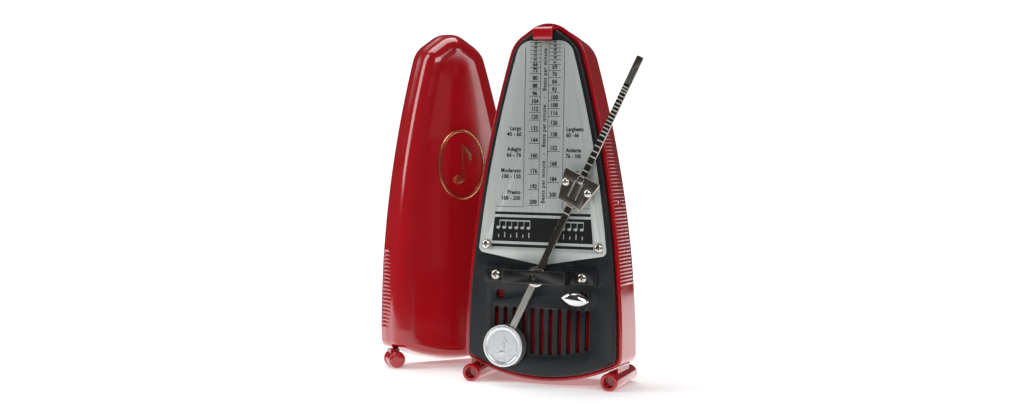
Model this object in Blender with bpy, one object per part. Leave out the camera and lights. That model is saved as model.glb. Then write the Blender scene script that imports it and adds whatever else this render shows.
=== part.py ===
"""Small clockwork metronome: a peaked plastic case on two tube feet, with its front cover
standing beside it.  Lengths below are millimetres; the mesh is written in metres.

Two frames are used.  The floor frame has X to the right, Y to the back and Z up.  The face
frame is the floor frame leaned back by LEAN: x across, y into the case, z up the face."""
import math

import bmesh
import bpy
from mathutils import Matrix, Vector

MM = 0.001

# ---- case ----
HEIGHT = 160.2            # face height at the peak of the case
HALF_WIDTH = 37.3         # half width where the flanks stand upright
FLANK_CLOSE = 23.4        # each flank has closed in by this much at the peak's height
FLANK_LEVEL = 8.0         # height at which the flank arc is upright
FLANK_RADIUS = (HEIGHT - FLANK_LEVEL) ** 2 / (2 * FLANK_CLOSE)
BELLY_RADIUS = 79.0
CORNER_RADIUS = 5.5
GABLE_ANGLE = 34.6        # slope of the two roof lines, degrees
SHOULDER_Z = 151.1
SHOULDER_RADIUS = 14.0
PEAK_RADIUS = 13.5
LEAN = 2.5                # the face leans back by this many degrees
DEPTH = 27.0              # face foot to the upright rear wall
REAR_RADIUS = 4.5
REAR_DROP = 1.8           # the peak is this much lower at the rear
WALL = 2.2
LIP = 1.9                 # thin rim around the front plate
RIM_BACK = 2.4            # how far the rim sits behind the plate's front
LEDGE = 3.0
HOOK_HALF = 4.5           # half width of the hook that holds the pendulum's tip
# ---- front plate, dial, grille ----
PLATE_INSET = 2.2
PLATE_THICK = 2.6
DIAL_INSET = 4.4
DIAL_THICK = 0.4
DIAL_TOP = HEIGHT - 7.9
DIAL_LOW = 53.4           # lowest point of the dial's shallow V edge
DIAL_CORNER = (26.0, 58.2)
DIAL_SCREW = (26.6, 61.8)
SLOT_COUNT = 11
SLOT_PITCH = 4.29
SLOT_WIDTH = 2.0
SLOT_TOP = 34.4
SLOT_LOW = 13.5           # foot of the middle slot
SLOT_ARC = 81.0           # the slot feet follow an arc of this radius
GAP = 0.3                 # running and fitting gap between pieces
# ---- bridge and pendulum ----
PIVOT_Z = 48.65
BRIDGE_HALF = 15.0
BRIDGE_EAR = 25.5
BRIDGE_HEIGHT = 5.8
BRIDGE_OUT = 11.0         # bridge front, ahead of the plate
BRIDGE_PAD = 2.6          # the pads under the bridge's ears stand this far out of the plate
BRIDGE_THICK = 1.0
BRIDGE_SCREW = 20.3
SWING = 25.5              # stored pendulum angle from upright, degrees
ROD_WIDTH = 3.0
ROD_THICK = 1.0
ROD_FRONT = 6.6           # rod front, ahead of the plate
ROD_LENGTH = HEIGHT - PIVOT_Z - 5.35   # pivot to tip, which the hook holds
WEIGHT_ARM = 34.5
WEIGHT_RADIUS = 9.3
WEIGHT_THICK = 6.0
WEIGHT_FRONT = 8.3
SLIDER_AT = 42.5          # slider middle, from the pivot
SLIDER_TOP = 17.7
SLIDER_LOW = 11.4
SLIDER_HEIGHT = 13.8
SLIDER_RIVET = 5.6
SCALE_ZERO = 168.6        # face height of the scale's zero beat
SCALE_STEP = 0.427        # face height per beat a minute
# ---- winding and train ----
KEY_AT = (18.9, 39.7)
KEY_LENGTH = 13.8
KEY_HEIGHT = 6.3
KEY_OUT = 10.8
KEY_TILT = 6.0
POST_AT = (-19.7, 40.0)    # red post seen through a hole in the plate
POST_HOLE = 2.2
POST_RADIUS = 3.2
BARREL_TEETH = 44
BARREL_MODULE = 0.6
INTER_PINION = 10
INTER_TEETH = 40
INTER_MODULE = 0.4
ESCAPE_PINION = 8
ESCAPE_TEETH = 15
ESCAPE_RADIUS = 6.3
ESCAPE_AT = (-3.2, 40.24)
ANCHOR_RADIUS = 2.45
RATCHET_TEETH = 12
RATCHET_RADIUS = 7.0
FRAME_X = (-14.5, 29.8)
FRAME_Z = (18.0, 60.0)
FRAME_FRONT = 4.5
FRONT_WING = (-26.0, 12.0, 35.6)   # left, foot and top of the front frame behind the slots
FRAME_BACK = 17.6
FRAME_THICK = 1.0
# ---- feet ----
FOOT_X = 32.7
FOOT_RADIUS = 4.0
FOOT_BORE = 2.5
FOOT_WEB = 2.2            # half width of the web between a foot and what it carries
FOOT_SOCKET = 3.0
FOOT_FRONT = -2.0
FOOT_BACK = 27.0
FOOT_STAND = 6.2          # top of the feet above the belly's lowest point
BELLY_Z = 2 * FOOT_RADIUS - FOOT_STAND   # lowest point of the case's curved underside
# ---- cover ----
COVER_FRONT = -16.1       # foot of the cover's front, floor frame of the cover
COVER_LEAN = 3.4          # the cover's front leans back by this many degrees
COVER_WALL = 1.4
COVER_CUT = 1.2           # the cover is smaller than the case's outline by this all round
COVER_EDGE = 8.5          # radius between the cover's sides and its front
COVER_DRAFT = 1.4         # the sides close in by this much toward the front
COVER_SINK = 2.0          # the cover's underside is lower than the case's, before its cut
COVER_SWELL = 0.5         # share of the front edge's rounding that its underside leaves out
COVER_DROP = 1.4          # the cover's peak sits just below the case's
COVER_FOOT_FRONT = -11.3
COVER_AT = (-63.7, 47.4)  # foot of the cover's rim, from the foot of the case's face
COVER_YAW = 47.0
EMBLEM_Z = 95.3
EMBLEM_HALF = (12.0, 16.6)
EMBLEM_BAND = 1.3


# ---------------------------------------------------------------- outlines
def flank(z, inset=0.0):
    """Half width of the case at face height z."""
    return HALF_WIDTH - inset - (z - FLANK_LEVEL) ** 2 / (2 * FLANK_RADIUS)


def fillet(before, corner, after, radius, steps):
    """Points of an arc that rounds a corner of a polyline."""
    p = Vector(corner)
    a = (Vector(before) - p).normalized()
    b = (Vector(after) - p).normalized()
    half = a.angle(b) / 2
    centre = p + (a + b).normalized() * (radius / math.sin(half))
    start = p + a * (radius / math.tan(half)) - centre
    stop = p + b * (radius / math.tan(half)) - centre
    turn = math.atan2(start.x * stop.y - start.y * stop.x, start.dot(stop))
    points = []
    for i in range(steps + 1):
        arm = Matrix.Rotation(turn * i / steps, 2) @ start
        points.append(tuple(centre + arm))
    return points


def mirrored(half):
    """Close a right half, given foot to peak, with its left half."""
    left = [(-x, z) for x, z in reversed(half) if abs(x) > 1e-6]
    return half + left


def meet_roof(peak, slope, cut):
    """Height at which a roof line comes down to the flank."""
    z = SHOULDER_Z
    for _ in range(12):
        z = peak - flank(z, cut) * math.tan(slope)
    return z


def case_outline(cut=0.0, drop=0.0, sink=0.0):
    """The case's outline moved inward by cut, its peak lowered by drop and its belly by sink.

    The points run counterclockwise seen from the front and keep the same count at any cut,
    so outlines can be skinned to one another."""
    centre = BELLY_Z - sink + BELLY_RADIUS
    belly = BELLY_RADIUS - cut
    half = []
    for i in range(6):
        x = (HALF_WIDTH - 8.3 - cut) * i / 5
        half.append((x, centre - math.sqrt(belly ** 2 - x * x)))
    side = HALF_WIDTH - 0.2 - cut
    corner = (side, centre - math.sqrt(belly ** 2 - side ** 2))
    low = corner[1] + 12
    radius = max(CORNER_RADIUS - cut, 1.5)
    half += fillet(half[-1], corner, (flank(low, cut), low), radius, 5)
    slope = math.radians(GABLE_ANGLE)
    sharp = HEIGHT + PEAK_RADIUS * (1 / math.cos(slope) - 1) - drop - cut / math.cos(slope)
    shoulder_z = meet_roof(sharp, slope, cut)
    top = shoulder_z - 8
    for i in range(9):
        z = low + (top - low) * i / 8
        half.append((flank(z, cut), z))
    shoulder = (flank(shoulder_z, cut), shoulder_z)
    half += fillet(half[-1], shoulder, (0, sharp), max(SHOULDER_RADIUS - cut, 2.0), 3)
    other = (-shoulder[0], shoulder_z)
    crest = fillet(shoulder, (0, sharp), other, max(PEAK_RADIUS - cut, 3.0), 6)
    half += crest[:4]
    half[-1] = (0.0, half[-1][1])
    return mirrored(half)


def inset(points, distance):
    """Move a convex counterclockwise outline inward."""
    count = len(points)
    normals = []
    for i in range(count):
        edge = Vector(points[(i + 1) % count]) - Vector(points[i])
        normals.append(Vector((edge.y, -edge.x)).normalized())
    moved = []
    for i in range(count):
        a, b = normals[i - 1], normals[i]
        moved.append(tuple(Vector(points[i]) - (a + b) * (distance / (1 + a.dot(b)))))
    return moved


def circle(radius, count, at=(0.0, 0.0), turn=0.0):
    points = []
    for i in range(count):
        a = 2 * math.pi * i / count + turn
        points.append((at[0] + radius * math.cos(a), at[1] + radius * math.sin(a)))
    return points


def slot(x, low, high, width, steps=5):
    """Upright slot with round ends."""
    r = width / 2
    points = []
    for i in range(steps + 1):
        a = math.pi * i / steps
        points.append((x + r * math.cos(a), high - r + r * math.sin(a)))
    for i in range(steps + 1):
        a = math.pi + math.pi * i / steps
        points.append((x + r * math.cos(a), low + r + r * math.sin(a)))
    return points


def box_outline(x0, x1, z0, z1, radius=0.0, steps=3):
    corners = [(x0, z0), (x1, z0), (x1, z1), (x0, z1)]
    if not radius:
        return corners
    points = []
    for i in range(4):
        points += fillet(corners[i - 1], corners[i], corners[(i + 1) % 4], radius, steps)
    return points


def gear(teeth, module, addendum=0.85, dedendum=1.15, fill=0.43, phase=0.0):
    """Plain wheel outline with tapered teeth."""
    pitch = teeth * module / 2
    tip = pitch + addendum * module
    root = pitch - dedendum * module
    step = 2 * math.pi / teeth
    wide = fill * step * pitch / root * 0.62
    slim = fill * step * pitch / tip * 0.30
    points = []
    for i in range(teeth):
        a = step * i + phase
        for r, off in ((root, -wide), (tip, -slim), (tip, slim), (root, wide)):
            points.append((r * math.cos(a + off), r * math.sin(a + off)))
    return points


def saw(teeth, radius, depth, phase=0.0):
    """Ratchet or escape wheel outline: one steep flank and one long back to each tooth."""
    step = 2 * math.pi / teeth
    points = []
    for i in range(teeth):
        a = step * i + phase
        points.append((radius * math.cos(a), radius * math.sin(a)))
        b = a + step * 0.12
        points.append(((radius - depth) * math.cos(b), (radius - depth) * math.sin(b)))
    return points


def tempi():
    """The beats a minute that the scale marks."""
    marks = list(range(40, 60, 2)) + list(range(60, 72, 3)) + list(range(72, 120, 4))
    return marks + list(range(120, 144, 6)) + list(range(144, 209, 8))


# ---------------------------------------------------------------- solids
def new_object(name, verts, faces, material, parent, at=(0.0, 0.0, 0.0)):
    bm = bmesh.new()
    made = [bm.verts.new([c * MM for c in v]) for v in verts]
    for face in faces:
        bm.faces.new([made[i] for i in face])
    bmesh.ops.recalc_face_normals(bm, faces=bm.faces)
    bmesh.ops.triangulate(bm, faces=[f for f in bm.faces if len(f.verts) > 4])
    mesh = bpy.data.meshes.new(name)
    bm.to_mesh(mesh)
    bm.free()
    obj = bpy.data.objects.new(name, mesh)
    bpy.context.scene.collection.objects.link(obj)
    if material:
        mesh.materials.append(material)
    obj.parent = parent
    obj.location = [c * MM for c in at]
    return obj


def loft(name, rings, material, parent, at=(0.0, 0.0, 0.0), closed=False):
    """Skin equal rings; the ends are capped unless the rings close on themselves."""
    count = len(rings[0])
    verts = [p for ring in rings for p in ring]
    faces = []
    last = len(rings) if closed else len(rings) - 1
    for k in range(last):
        a, b = k * count, ((k + 1) % len(rings)) * count
        for i in range(count):
            j = (i + 1) % count
            faces.append((a + i, a + j, b + j, b + i))
    if not closed:
        faces.append(tuple(range(count))[::-1])
        top = (len(rings) - 1) * count
        faces.append(tuple(range(top, top + count)))
    return new_object(name, verts, faces, material, parent, at)


def prism(name, outline, y0, y1, material, parent, at=(0.0, 0.0, 0.0)):
    """Outline in x and z, carried from y0 to y1."""
    rings = [[(x, y, z) for x, z in outline] for y in (y0, y1)]
    return loft(name, rings, material, parent, at)


def bar(name, profile, x0, x1, material, parent, at=(0.0, 0.0, 0.0)):
    """Profile in y and z, carried from x0 to x1."""
    rings = [[(x, y, z) for y, z in profile] for x in (x0, x1)]
    return loft(name, rings, material, parent, at)


def turned(name, profile, material, parent, at=(0.0, 0.0, 0.0), sides=24, turn=0.0):
    """Turn a profile of (y, radius) about the y axis; end points lie on the axis."""
    verts = [(0.0, profile[0][0], 0.0)]
    for y, r in profile[1:-1]:
        verts += [(x, y, z) for x, z in circle(r, sides, turn=turn)]
    verts.append((0.0, profile[-1][0], 0.0))
    faces = []
    for i in range(sides):
        j = (i + 1) % sides
        faces.append((0, 1 + j, 1 + i))
        for k in range(len(profile) - 3):
            a, b = 1 + k * sides, 1 + (k + 1) * sides
            faces.append((a + i, a + j, b + j, b + i))
        top = 1 + (len(profile) - 3) * sides
        faces.append((top + i, top + j, len(verts) - 1))
    return new_object(name, verts, faces, material, parent, at)


def boolean(obj, tool, operation):
    """Apply one exact boolean and drop the tool."""
    bpy.context.view_layer.update()
    mod = obj.modifiers.new(operation.lower(), "BOOLEAN")
    mod.operation = operation
    mod.solver = "EXACT"
    mod.object = tool
    graph = bpy.context.evaluated_depsgraph_get()
    mesh = bpy.data.meshes.new_from_object(obj.evaluated_get(graph))
    obj.modifiers.clear()
    old = obj.data
    obj.data = mesh
    mesh.name = obj.name
    bpy.data.meshes.remove(old)
    bpy.data.objects.remove(tool)
    return obj


def merged(tools):
    """Join separate tool meshes that don't touch into one tool."""
    bpy.context.view_layer.update()
    bm = bmesh.new()
    for tool in tools:
        part = bmesh.new()
        part.from_mesh(tool.data)
        part.transform(tool.matrix_world)
        spare = bpy.data.meshes.new("spare")
        part.to_mesh(spare)
        part.free()
        bm.from_mesh(spare)
        bpy.data.meshes.remove(spare)
        bpy.data.objects.remove(tool)
    mesh = bpy.data.meshes.new("tool")
    bm.to_mesh(mesh)
    bm.free()
    obj = bpy.data.objects.new("tool", mesh)
    bpy.context.scene.collection.objects.link(obj)
    obj.display_type = "WIRE"
    obj.hide_render = True
    return obj


def drilled(obj, tools):
    return boolean(obj, merged(tools), "DIFFERENCE")


def hole(parent, at, radius, y0, y1, sides=16):
    """Round cutter along y."""
    return prism("cutter", circle(radius, sides, at), y0, y1, None, parent)


def rear(y, z, lean=0.0):
    """Face-frame depth of a plane that meets the floor y behind the face's foot."""
    a = math.radians(LEAN)
    return (y + z * math.tan(math.radians(lean)) - z * math.sin(a)) / math.cos(a)


# ---------------------------------------------------------------- materials
def linear(code):
    values = []
    for i in (0, 2, 4):
        c = int(code[i:i + 2], 16) / 255
        values.append(c / 12.92 if c <= 0.04045 else ((c + 0.055) / 1.055) ** 2.4)
    return (*values, 1.0)


def material(name, code, rough, metal=0.0):
    mat = bpy.data.materials.new(name)
    mat.use_nodes = True
    shader = mat.node_tree.nodes["Principled BSDF"]
    shader.inputs["Base Color"].default_value = linear(code)
    shader.inputs["Roughness"].default_value = rough
    shader.inputs["Metallic"].default_value = metal
    mat.diffuse_color = linear(code)
    return mat


def empty(name, parent, at=(0.0, 0.0, 0.0), turn=(0.0, 0.0, 0.0)):
    obj = bpy.data.objects.new(name, None)
    bpy.context.scene.collection.objects.link(obj)
    obj.parent = parent
    obj.location = [c * MM for c in at]
    obj.rotation_euler = [math.radians(a) for a in turn]
    return obj


# ---------------------------------------------------------------- case
def build_housing(face, red):
    """Open-fronted shell with the hook that holds the pendulum's tip when it is stored."""
    def ring(cut, depth=None, back=None):
        drop = 0.0 if back is None else REAR_DROP
        points = []
        for x, z in case_outline(cut, drop):
            y = depth if back is None else rear(back, z)
            points.append((x, y, z))
        return points

    edge = REAR_RADIUS
    inner = REAR_RADIUS - WALL + 0.3
    floor = DEPTH - WALL
    rings = [
        ring(WALL + inner, back=floor),
        ring(WALL + inner * 0.3, back=floor - inner * 0.3),
        ring(WALL, back=floor - inner),
        ring(WALL, LEDGE),
        ring(LIP, LEDGE),
        ring(LIP, RIM_BACK),
        ring(0.5, RIM_BACK),
        ring(0.15, RIM_BACK + 0.15),
        ring(0.0, RIM_BACK + 0.5),
        ring(0.1, back=DEPTH - edge),
        ring(0.1 + edge * 0.13, back=DEPTH - edge * 0.5),
        ring(0.1 + edge * 0.5, back=DEPTH - edge * 0.13),
        ring(0.1 + edge, back=DEPTH),
    ]
    shell = loft("rear_housing", rings, red, face)
    top = HEIGHT - 1.9
    hook = [
        (LEDGE + 0.8, top - 1.6), (-2.9, top - 1.6), (-2.9, top - 5.6), (-3.3, top - 6.0),
        (-4.3, top - 5.6), (-4.6, top - 4.4), (-4.6, top - 1.6), (-4.0, top - 0.5),
        (-2.8, top), (LEDGE + 0.8, top - 0.1),
    ]
    tab = bar("hook", hook, -HOOK_HALF, HOOK_HALF, None, face)
    boolean(shell, tab, "UNION")
    foot = rear(DEPTH - 1.0, POST_AT[1])
    post = prism("post", circle(POST_RADIUS, 20, POST_AT), PLATE_THICK + GAP, foot, None, face)
    boolean(shell, post, "UNION")
    cutters = []
    for side in (-1, 1):
        cutter = turned("cutter", [(-4, 0), (-4, 1.4), (4, 1.4), (4, 0)], None, face, sides=12)
        cutter.rotation_euler = (0, 0, math.radians(90))
        cutter.location = [c * MM for c in (side * flank(SIDE_PIN_Z), SIDE_PIN_Y, SIDE_PIN_Z)]
        cutters.append(cutter)
    for x, z in BACK_SCREWS:
        y = rear(DEPTH, z)
        cutters.append(hole(face, (x, z), 1.3, y - 4, y - 1.1, 12))
        cutters.append(hole(face, (x, z), 2.5, y - 1.3, y + 4, 16))
    for cutter in cutters:
        boolean(shell, cutter, "DIFFERENCE")
    return shell


SIDE_PIN_Z = 82.0
SIDE_PIN_Y = 10.0
BACK_SCREWS = ((-21.0, 24.0), (21.0, 24.0), (0.0, 138.0))


def build_side_pins(face, steel):
    """Small pins that close the side seams, one in each grip."""
    for side, name in ((-1, "side_pin_left"), (1, "side_pin_right")):
        profile = [(0.2, 0), (0.2, 0.7), (-0.1, 1.05), (-5.0, 1.05), (-5.0, 0)]
        pin = turned(name, profile, steel, face, sides=12)
        pin.location = [c * MM for c in (side * flank(SIDE_PIN_Z), SIDE_PIN_Y, SIDE_PIN_Z)]
        pin.rotation_euler = (0, 0, math.radians(-90 * side))


def build_back_screws(face, steel):
    for i, (x, z) in enumerate(BACK_SCREWS):
        y = rear(DEPTH, z)
        profile = [(y - 0.1, 0), (y - 0.1, 1.5), (y - 0.5, 2.1), (y - 0.8, 2.1),
                   (y - 0.8, 0.95), (y - 7.0, 0.95), (y - 7.0, 0)]
        turned(f"back_screw_{i + 1}", profile, steel, face, (x, 0, z), 16)


def build_plate(face, black):
    """Front plate: proud of the rim, slotted below, notched round the hook above."""
    rings = []
    for cut, y in ((PLATE_INSET, PLATE_THICK), (PLATE_INSET, 0.9),
                   (PLATE_INSET + 0.3, 0.25), (PLATE_INSET + 1.0, 0.0)):
        rings.append([(x, y, z) for x, z in case_outline(cut)])
    plate = loft("front_plate", rings, black, face)
    pads = []
    for side in (-1, 1):
        middle = side * (BRIDGE_HALF + BRIDGE_EAR) / 2
        half = (BRIDGE_EAR - BRIDGE_HALF) / 2 + 0.9
        outline = box_outline(middle - half, middle + half, PIVOT_Z - 3.9, PIVOT_Z + 3.9, 1.0)
        pads.append(prism("pad", outline, -BRIDGE_PAD, 0.6, None, face))
    boolean(plate, merged(pads), "UNION")
    panel = slot_panel()
    boolean(plate, prism("panel", panel, -2.0, 0.5, None, face), "DIFFERENCE")
    cutters = []
    for i in range(SLOT_COUNT):
        x = (i - (SLOT_COUNT - 1) / 2) * SLOT_PITCH
        cutters.append(prism("slot", slot(x, slot_low(x), SLOT_TOP, SLOT_WIDTH), -3, 6, None, face))
    cutters.append(hole(face, POST_AT, POST_HOLE, -3, 6, 20))
    cutters.append(hole(face, KEY_AT, 2.6, 0.4, 6, 16))
    cutters.append(hole(face, (0, PIVOT_Z), 2.6, -3, 6, 16))
    for side in (-1, 1):
        cutters.append(hole(face, (side * DIAL_SCREW[0], DIAL_SCREW[1]), 1.3, -3, 6, 12))
        cutters.append(hole(face, (side * BRIDGE_SCREW, PIVOT_Z), 1.4, -3, 6, 12))
    notch = box_outline(-HOOK_HALF - GAP, HOOK_HALF + GAP, HEIGHT - 3.8, HEIGHT + 3)
    cutters.append(prism("notch", notch, -3, 6, None, face))
    drilled(plate, cutters)
    boolean(plate, hole(face, KEY_AT, 8.4, -3, 0.8, 32), "DIFFERENCE")
    return plate


def slot_low(x):
    return SLOT_LOW + SLOT_ARC - math.sqrt(SLOT_ARC ** 2 - x * x)


def slot_panel():
    """Shallow field around the slots, straight above and curved below."""
    half = (SLOT_COUNT - 1) / 2 * SLOT_PITCH + 2.6
    points = []
    for i in range(13):
        x = -half + 2 * half * i / 12
        points.append((x, slot_low(x) - 1.4))
    return points + [(half, SLOT_TOP + 1.3), (-half, SLOT_TOP + 1.3)]


def dial_outline():
    def side(z):
        return flank(z, DIAL_INSET)

    half = [(0.0, DIAL_LOW)]
    corner = (side(DIAL_CORNER[1]), DIAL_CORNER[1] + 0.4)
    half += fillet(half[0], corner, (side(72), 72), 2.5, 4)
    for i in range(7):
        z = 72 + (DIAL_TOP - 10 - 72) * i / 6
        half.append((side(z), z))
    half += fillet(half[-1], (side(DIAL_TOP), DIAL_TOP), (0, DIAL_TOP), 7.0, 5)
    return mirrored(half)


def build_dial(face, silver, steel):
    y1 = -0.15
    dial = prism("dial_plate", dial_outline(), y1 - DIAL_THICK, y1, silver, face)
    cutters = [hole(face, (s * DIAL_SCREW[0], DIAL_SCREW[1]), 1.3, -3, 3, 12) for s in (-1, 1)]
    drilled(dial, cutters)
    top = y1 - DIAL_THICK - 0.1
    profile = [(top - 1.25, 0), (top - 1.15, 1.0), (top - 0.8, 1.7), (top - 0.3, 2.05),
               (top, 2.05), (top, 1.0), (4.0, 1.0), (4.0, 0)]
    for s, name in ((-1, "dial_screw_left"), (1, "dial_screw_right")):
        turned(name, profile, steel, face, (s * DIAL_SCREW[0], 0, DIAL_SCREW[1]), 20)


# ---------------------------------------------------------------- bridge
def build_bridge(face, black, steel):
    """Bent strap that carries the front end of the pendulum's arbor."""
    foot = -BRIDGE_PAD - 0.15
    out, thick = -BRIDGE_OUT, BRIDGE_THICK
    half, ear = BRIDGE_HALF, BRIDGE_EAR
    line = [(ear, foot), (half + 1.0, foot), (half, foot - 0.4), (half - 1.0, out + thick),
            (-half + 1.0, out + thick), (-half, foot - 0.4), (-half - 1.0, foot),
            (-ear, foot), (-ear, foot - thick), (-half - 0.5, foot - thick),
            (-half - 0.3, foot - thick), (-half - 0.1, out + 0.4), (-half + 0.6, out),
            (half - 0.6, out), (half + 0.1, out + 0.4), (half + 0.3, foot - thick),
            (half + 0.5, foot - thick), (ear, foot - thick)]
    low, high = PIVOT_Z - BRIDGE_HEIGHT / 2, PIVOT_Z + BRIDGE_HEIGHT / 2
    rings = [[(x, y, z) for x, y in line] for z in (low, high)]
    strap = loft("bridge_strap", rings, black, face)
    cutters = [hole(face, (0, PIVOT_Z), 1.35, out - 1, out + 3, 16)]
    for side in (-1, 1):
        cutters.append(hole(face, (side * BRIDGE_SCREW, PIVOT_Z), 1.4, foot - 3, foot + 1, 12))
    drilled(strap, cutters)
    top = foot - thick - 0.1
    profile = [(top - 1.3, 0), (top - 1.2, 1.0), (top - 0.9, 1.7), (top - 0.3, 2.15),
               (top, 2.15), (top, 1.1), (4.0, 1.1), (4.0, 0)]
    for side, name in ((-1, "bridge_screw_left"), (1, "bridge_screw_right")):
        turned(name, profile, steel, face, (side * BRIDGE_SCREW, 0, PIVOT_Z), 20)
    return strap


# ---------------------------------------------------------------- pendulum
def build_rod(pivot, dark):
    """Flat rod, notched across its front wherever the scale has a mark."""
    front, back = -ROD_FRONT, -ROD_FRONT + ROD_THICK
    low = -WEIGHT_ARM + 1.0
    profile = [(back, low), (back, ROD_LENGTH), (front, ROD_LENGTH)]
    heights = sorted((SCALE_ZERO - SCALE_STEP * b - PIVOT_Z for b in tempi()), reverse=True)
    for r in heights:
        profile += [(front, r + 0.35), (front + 0.25, r), (front, r - 0.35)]
    profile.append((front, low))
    rod = bar("pendulum_rod", profile, -ROD_WIDTH / 2, ROD_WIDTH / 2, dark, pivot)
    return drilled(rod, [prism("cutter", circle(1.3, 16), -9, 0, None, pivot)])


def build_pendulum(face, dark, steel, chrome):
    pivot = empty("pendulum_pivot", face, (0, 0, PIVOT_Z), (0, SWING, 0))
    build_rod(pivot, dark)
    front = -ROD_FRONT - 0.15
    ring = [[(x, y, z) for x, z in circle(r, 24)]
            for r, y in ((1.3, front), (4.5, front), (4.5, front - 0.5), (4.2, front - 0.8),
                         (1.3, front - 0.8))]
    loft("pendulum_hub", ring, steel, pivot, closed=True)
    arbor = [(-BRIDGE_OUT - 0.2, 0), (-BRIDGE_OUT - 0.2, 0.8), (-BRIDGE_OUT, 1.0),
             (-5.35, 1.0), (-5.35, 2.1), (-1.0, 2.1), (-1.0, 1.0), (19.5, 1.0), (19.5, 0)]
    turned("pendulum_arbor", arbor, steel, pivot, sides=16)
    build_anchor(pivot, steel)
    build_weight(pivot, chrome)
    return pivot


def build_anchor(pivot, steel):
    """Two-lobed pallet piece on the arbor, just clear of the escape wheel's teeth."""
    points = []
    for i in range(36):
        a = 2 * math.pi * i / 36
        r = 1.9 + (ANCHOR_RADIUS - 1.9) * math.cos(a) ** 6
        points.append((r * math.cos(a), r * math.sin(a)))
    inner = circle(1.3, 36)
    rings = [[(x, y, z) for x, z in pts] for pts, y in
             ((inner, 11.0), (points, 11.0), (points, 12.4), (inner, 12.4))]
    anchor = loft("pallet_anchor", rings, steel, pivot, closed=True)
    anchor.rotation_euler = (0, math.radians(-SWING), 0)


def build_weight(pivot, chrome):
    """Counterweight disc with a raised border, slotted for the rod's end."""
    r, front = WEIGHT_RADIUS, -WEIGHT_FRONT
    back = front + WEIGHT_THICK
    profile = [(back, 0), (back, r - 0.6), (back - 0.6, r), (front + 0.5, r),
               (front, r - 0.5), (front, r - 1.5), (front + 0.45, r - 1.9),
               (front + 0.45, 0)]
    disc = turned("counterweight", profile, chrome, pivot, (0, 0, -WEIGHT_ARM), 40)
    y0, y1 = -ROD_FRONT - GAP, -ROD_FRONT + ROD_THICK + GAP
    outline = box_outline(-ROD_WIDTH / 2 - GAP, ROD_WIDTH / 2 + GAP, -WEIGHT_ARM + 0.6, 0)
    boolean(disc, prism("cutter", outline, y0, y1, None, pivot), "DIFFERENCE")


def build_slider(pivot, dark, chrome, steel):
    """Sliding weight: two plates riveted across the rod, with a leaf that finds the notches."""
    slide = empty("slider_home", pivot, (0, 0, SLIDER_AT))
    top, low, high = SLIDER_TOP / 2, SLIDER_LOW / 2, SLIDER_HEIGHT / 2
    corners = [(-low, -high), (low, -high), (top, high), (-top, high)]
    outline = []
    for i in range(4):
        outline += fillet(corners[i - 1], corners[i], corners[(i + 1) % 4], 0.8, 3)
    front = -ROD_FRONT - GAP
    rings = []
    for distance, y in ((0, front), (0, front - 1.2), (0.35, front - 1.6)):
        rings.append([(x, y, z) for x, z in inset(outline, distance)])
    plate = loft("slider_plate", rings, dark, slide)
    back = -ROD_FRONT + ROD_THICK + 0.7
    small = [(x * 0.86, z * 0.8) for x, z in outline]
    rear_plate = prism("slider_back_plate", small, back, back + 1.0, dark, slide)
    rivet_z = 1.2
    for obj in (plate, rear_plate):
        cutters = [hole(slide, (s * SLIDER_RIVET, rivet_z), 1.15, -12, 0, 12) for s in (-1, 1)]
        drilled(obj, cutters)
    head = front - 1.6 - 0.1
    profile = [(head - 1.0, 0), (head - 0.85, 0.9), (head - 0.45, 1.6), (head, 1.8),
               (head, 0.85), (back + 1.5, 0.85), (back + 1.5, 0)]
    for s, name in ((-1, "slider_rivet_left"), (1, "slider_rivet_right")):
        turned(name, profile, chrome, slide, (s * SLIDER_RIVET, 0, rivet_z), 20)
    leaf = -ROD_FRONT + ROD_THICK + 0.2
    line = [(leaf + 0.25, -4.6), (leaf + 0.25, -1.4), (leaf, -0.3), (leaf, 0.5),
            (leaf + 0.25, 1.6), (leaf + 0.25, 4.6)]
    profile = line + [(y + 0.12, z) for y, z in reversed(line)]
    bar("slider_leaf", profile, -1.1, 1.1, steel, slide)
    return slide


# ---------------------------------------------------------------- movement
def lens(length, height, count):
    """Pointed oval: two arcs that meet at the ends."""
    a, b = length / 2, height / 2
    radius = (a * a + b * b) / (2 * b)
    span = math.asin(a / radius)
    points = []
    for sign in (1, -1):
        for i in range(count):
            t = -span + 2 * span * i / count
            points.append((sign * radius * math.sin(t), sign * (radius * math.cos(t) - radius + b)))
    return points[::-1]


def build_key(face, chrome, steel):
    """Winding knob, its arbor and the ratchet wheel that locks it."""
    home = empty("key_axis", face, (KEY_AT[0], 0, KEY_AT[1]))
    shape = lens(KEY_LENGTH, KEY_HEIGHT, 14)
    turn = Matrix.Rotation(math.radians(-KEY_TILT), 2)
    shape = [tuple(turn @ Vector(p)) for p in shape]
    out = KEY_OUT
    levels = ((0.45, -1.9), (0.5, 5.8 - out), (0.92, 4.0 - out), (1.0, 2.8 - out),
              (1.0, 1.6 - out), (0.9, 0.7 - out), (0.66, 0.2 - out), (0.3, -out))
    rings = [[(x * s, y, z * s) for x, z in shape] for s, y in levels]
    loft("winding_key", rings, chrome, home)
    y = FRAME_BACK + FRAME_THICK
    arbor = [(-1.6, 0), (-1.6, 1.5), (9.0, 1.5), (9.0, 2.4), (13.6, 2.4), (13.6, 1.5),
             (y + 2.6, 1.5), (y + 2.6, 0)]
    turned("winding_arbor", arbor, steel, home, sides=20)
    outline = saw(RATCHET_TEETH, RATCHET_RADIUS, 1.3)
    ratchet = prism("ratchet_wheel", outline, y + 0.5, y + 1.8, steel, home)
    boolean(ratchet, prism("cutter", circle(1.8, 20), y - 2, y + 4, None, home), "DIFFERENCE")
    return home


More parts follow.
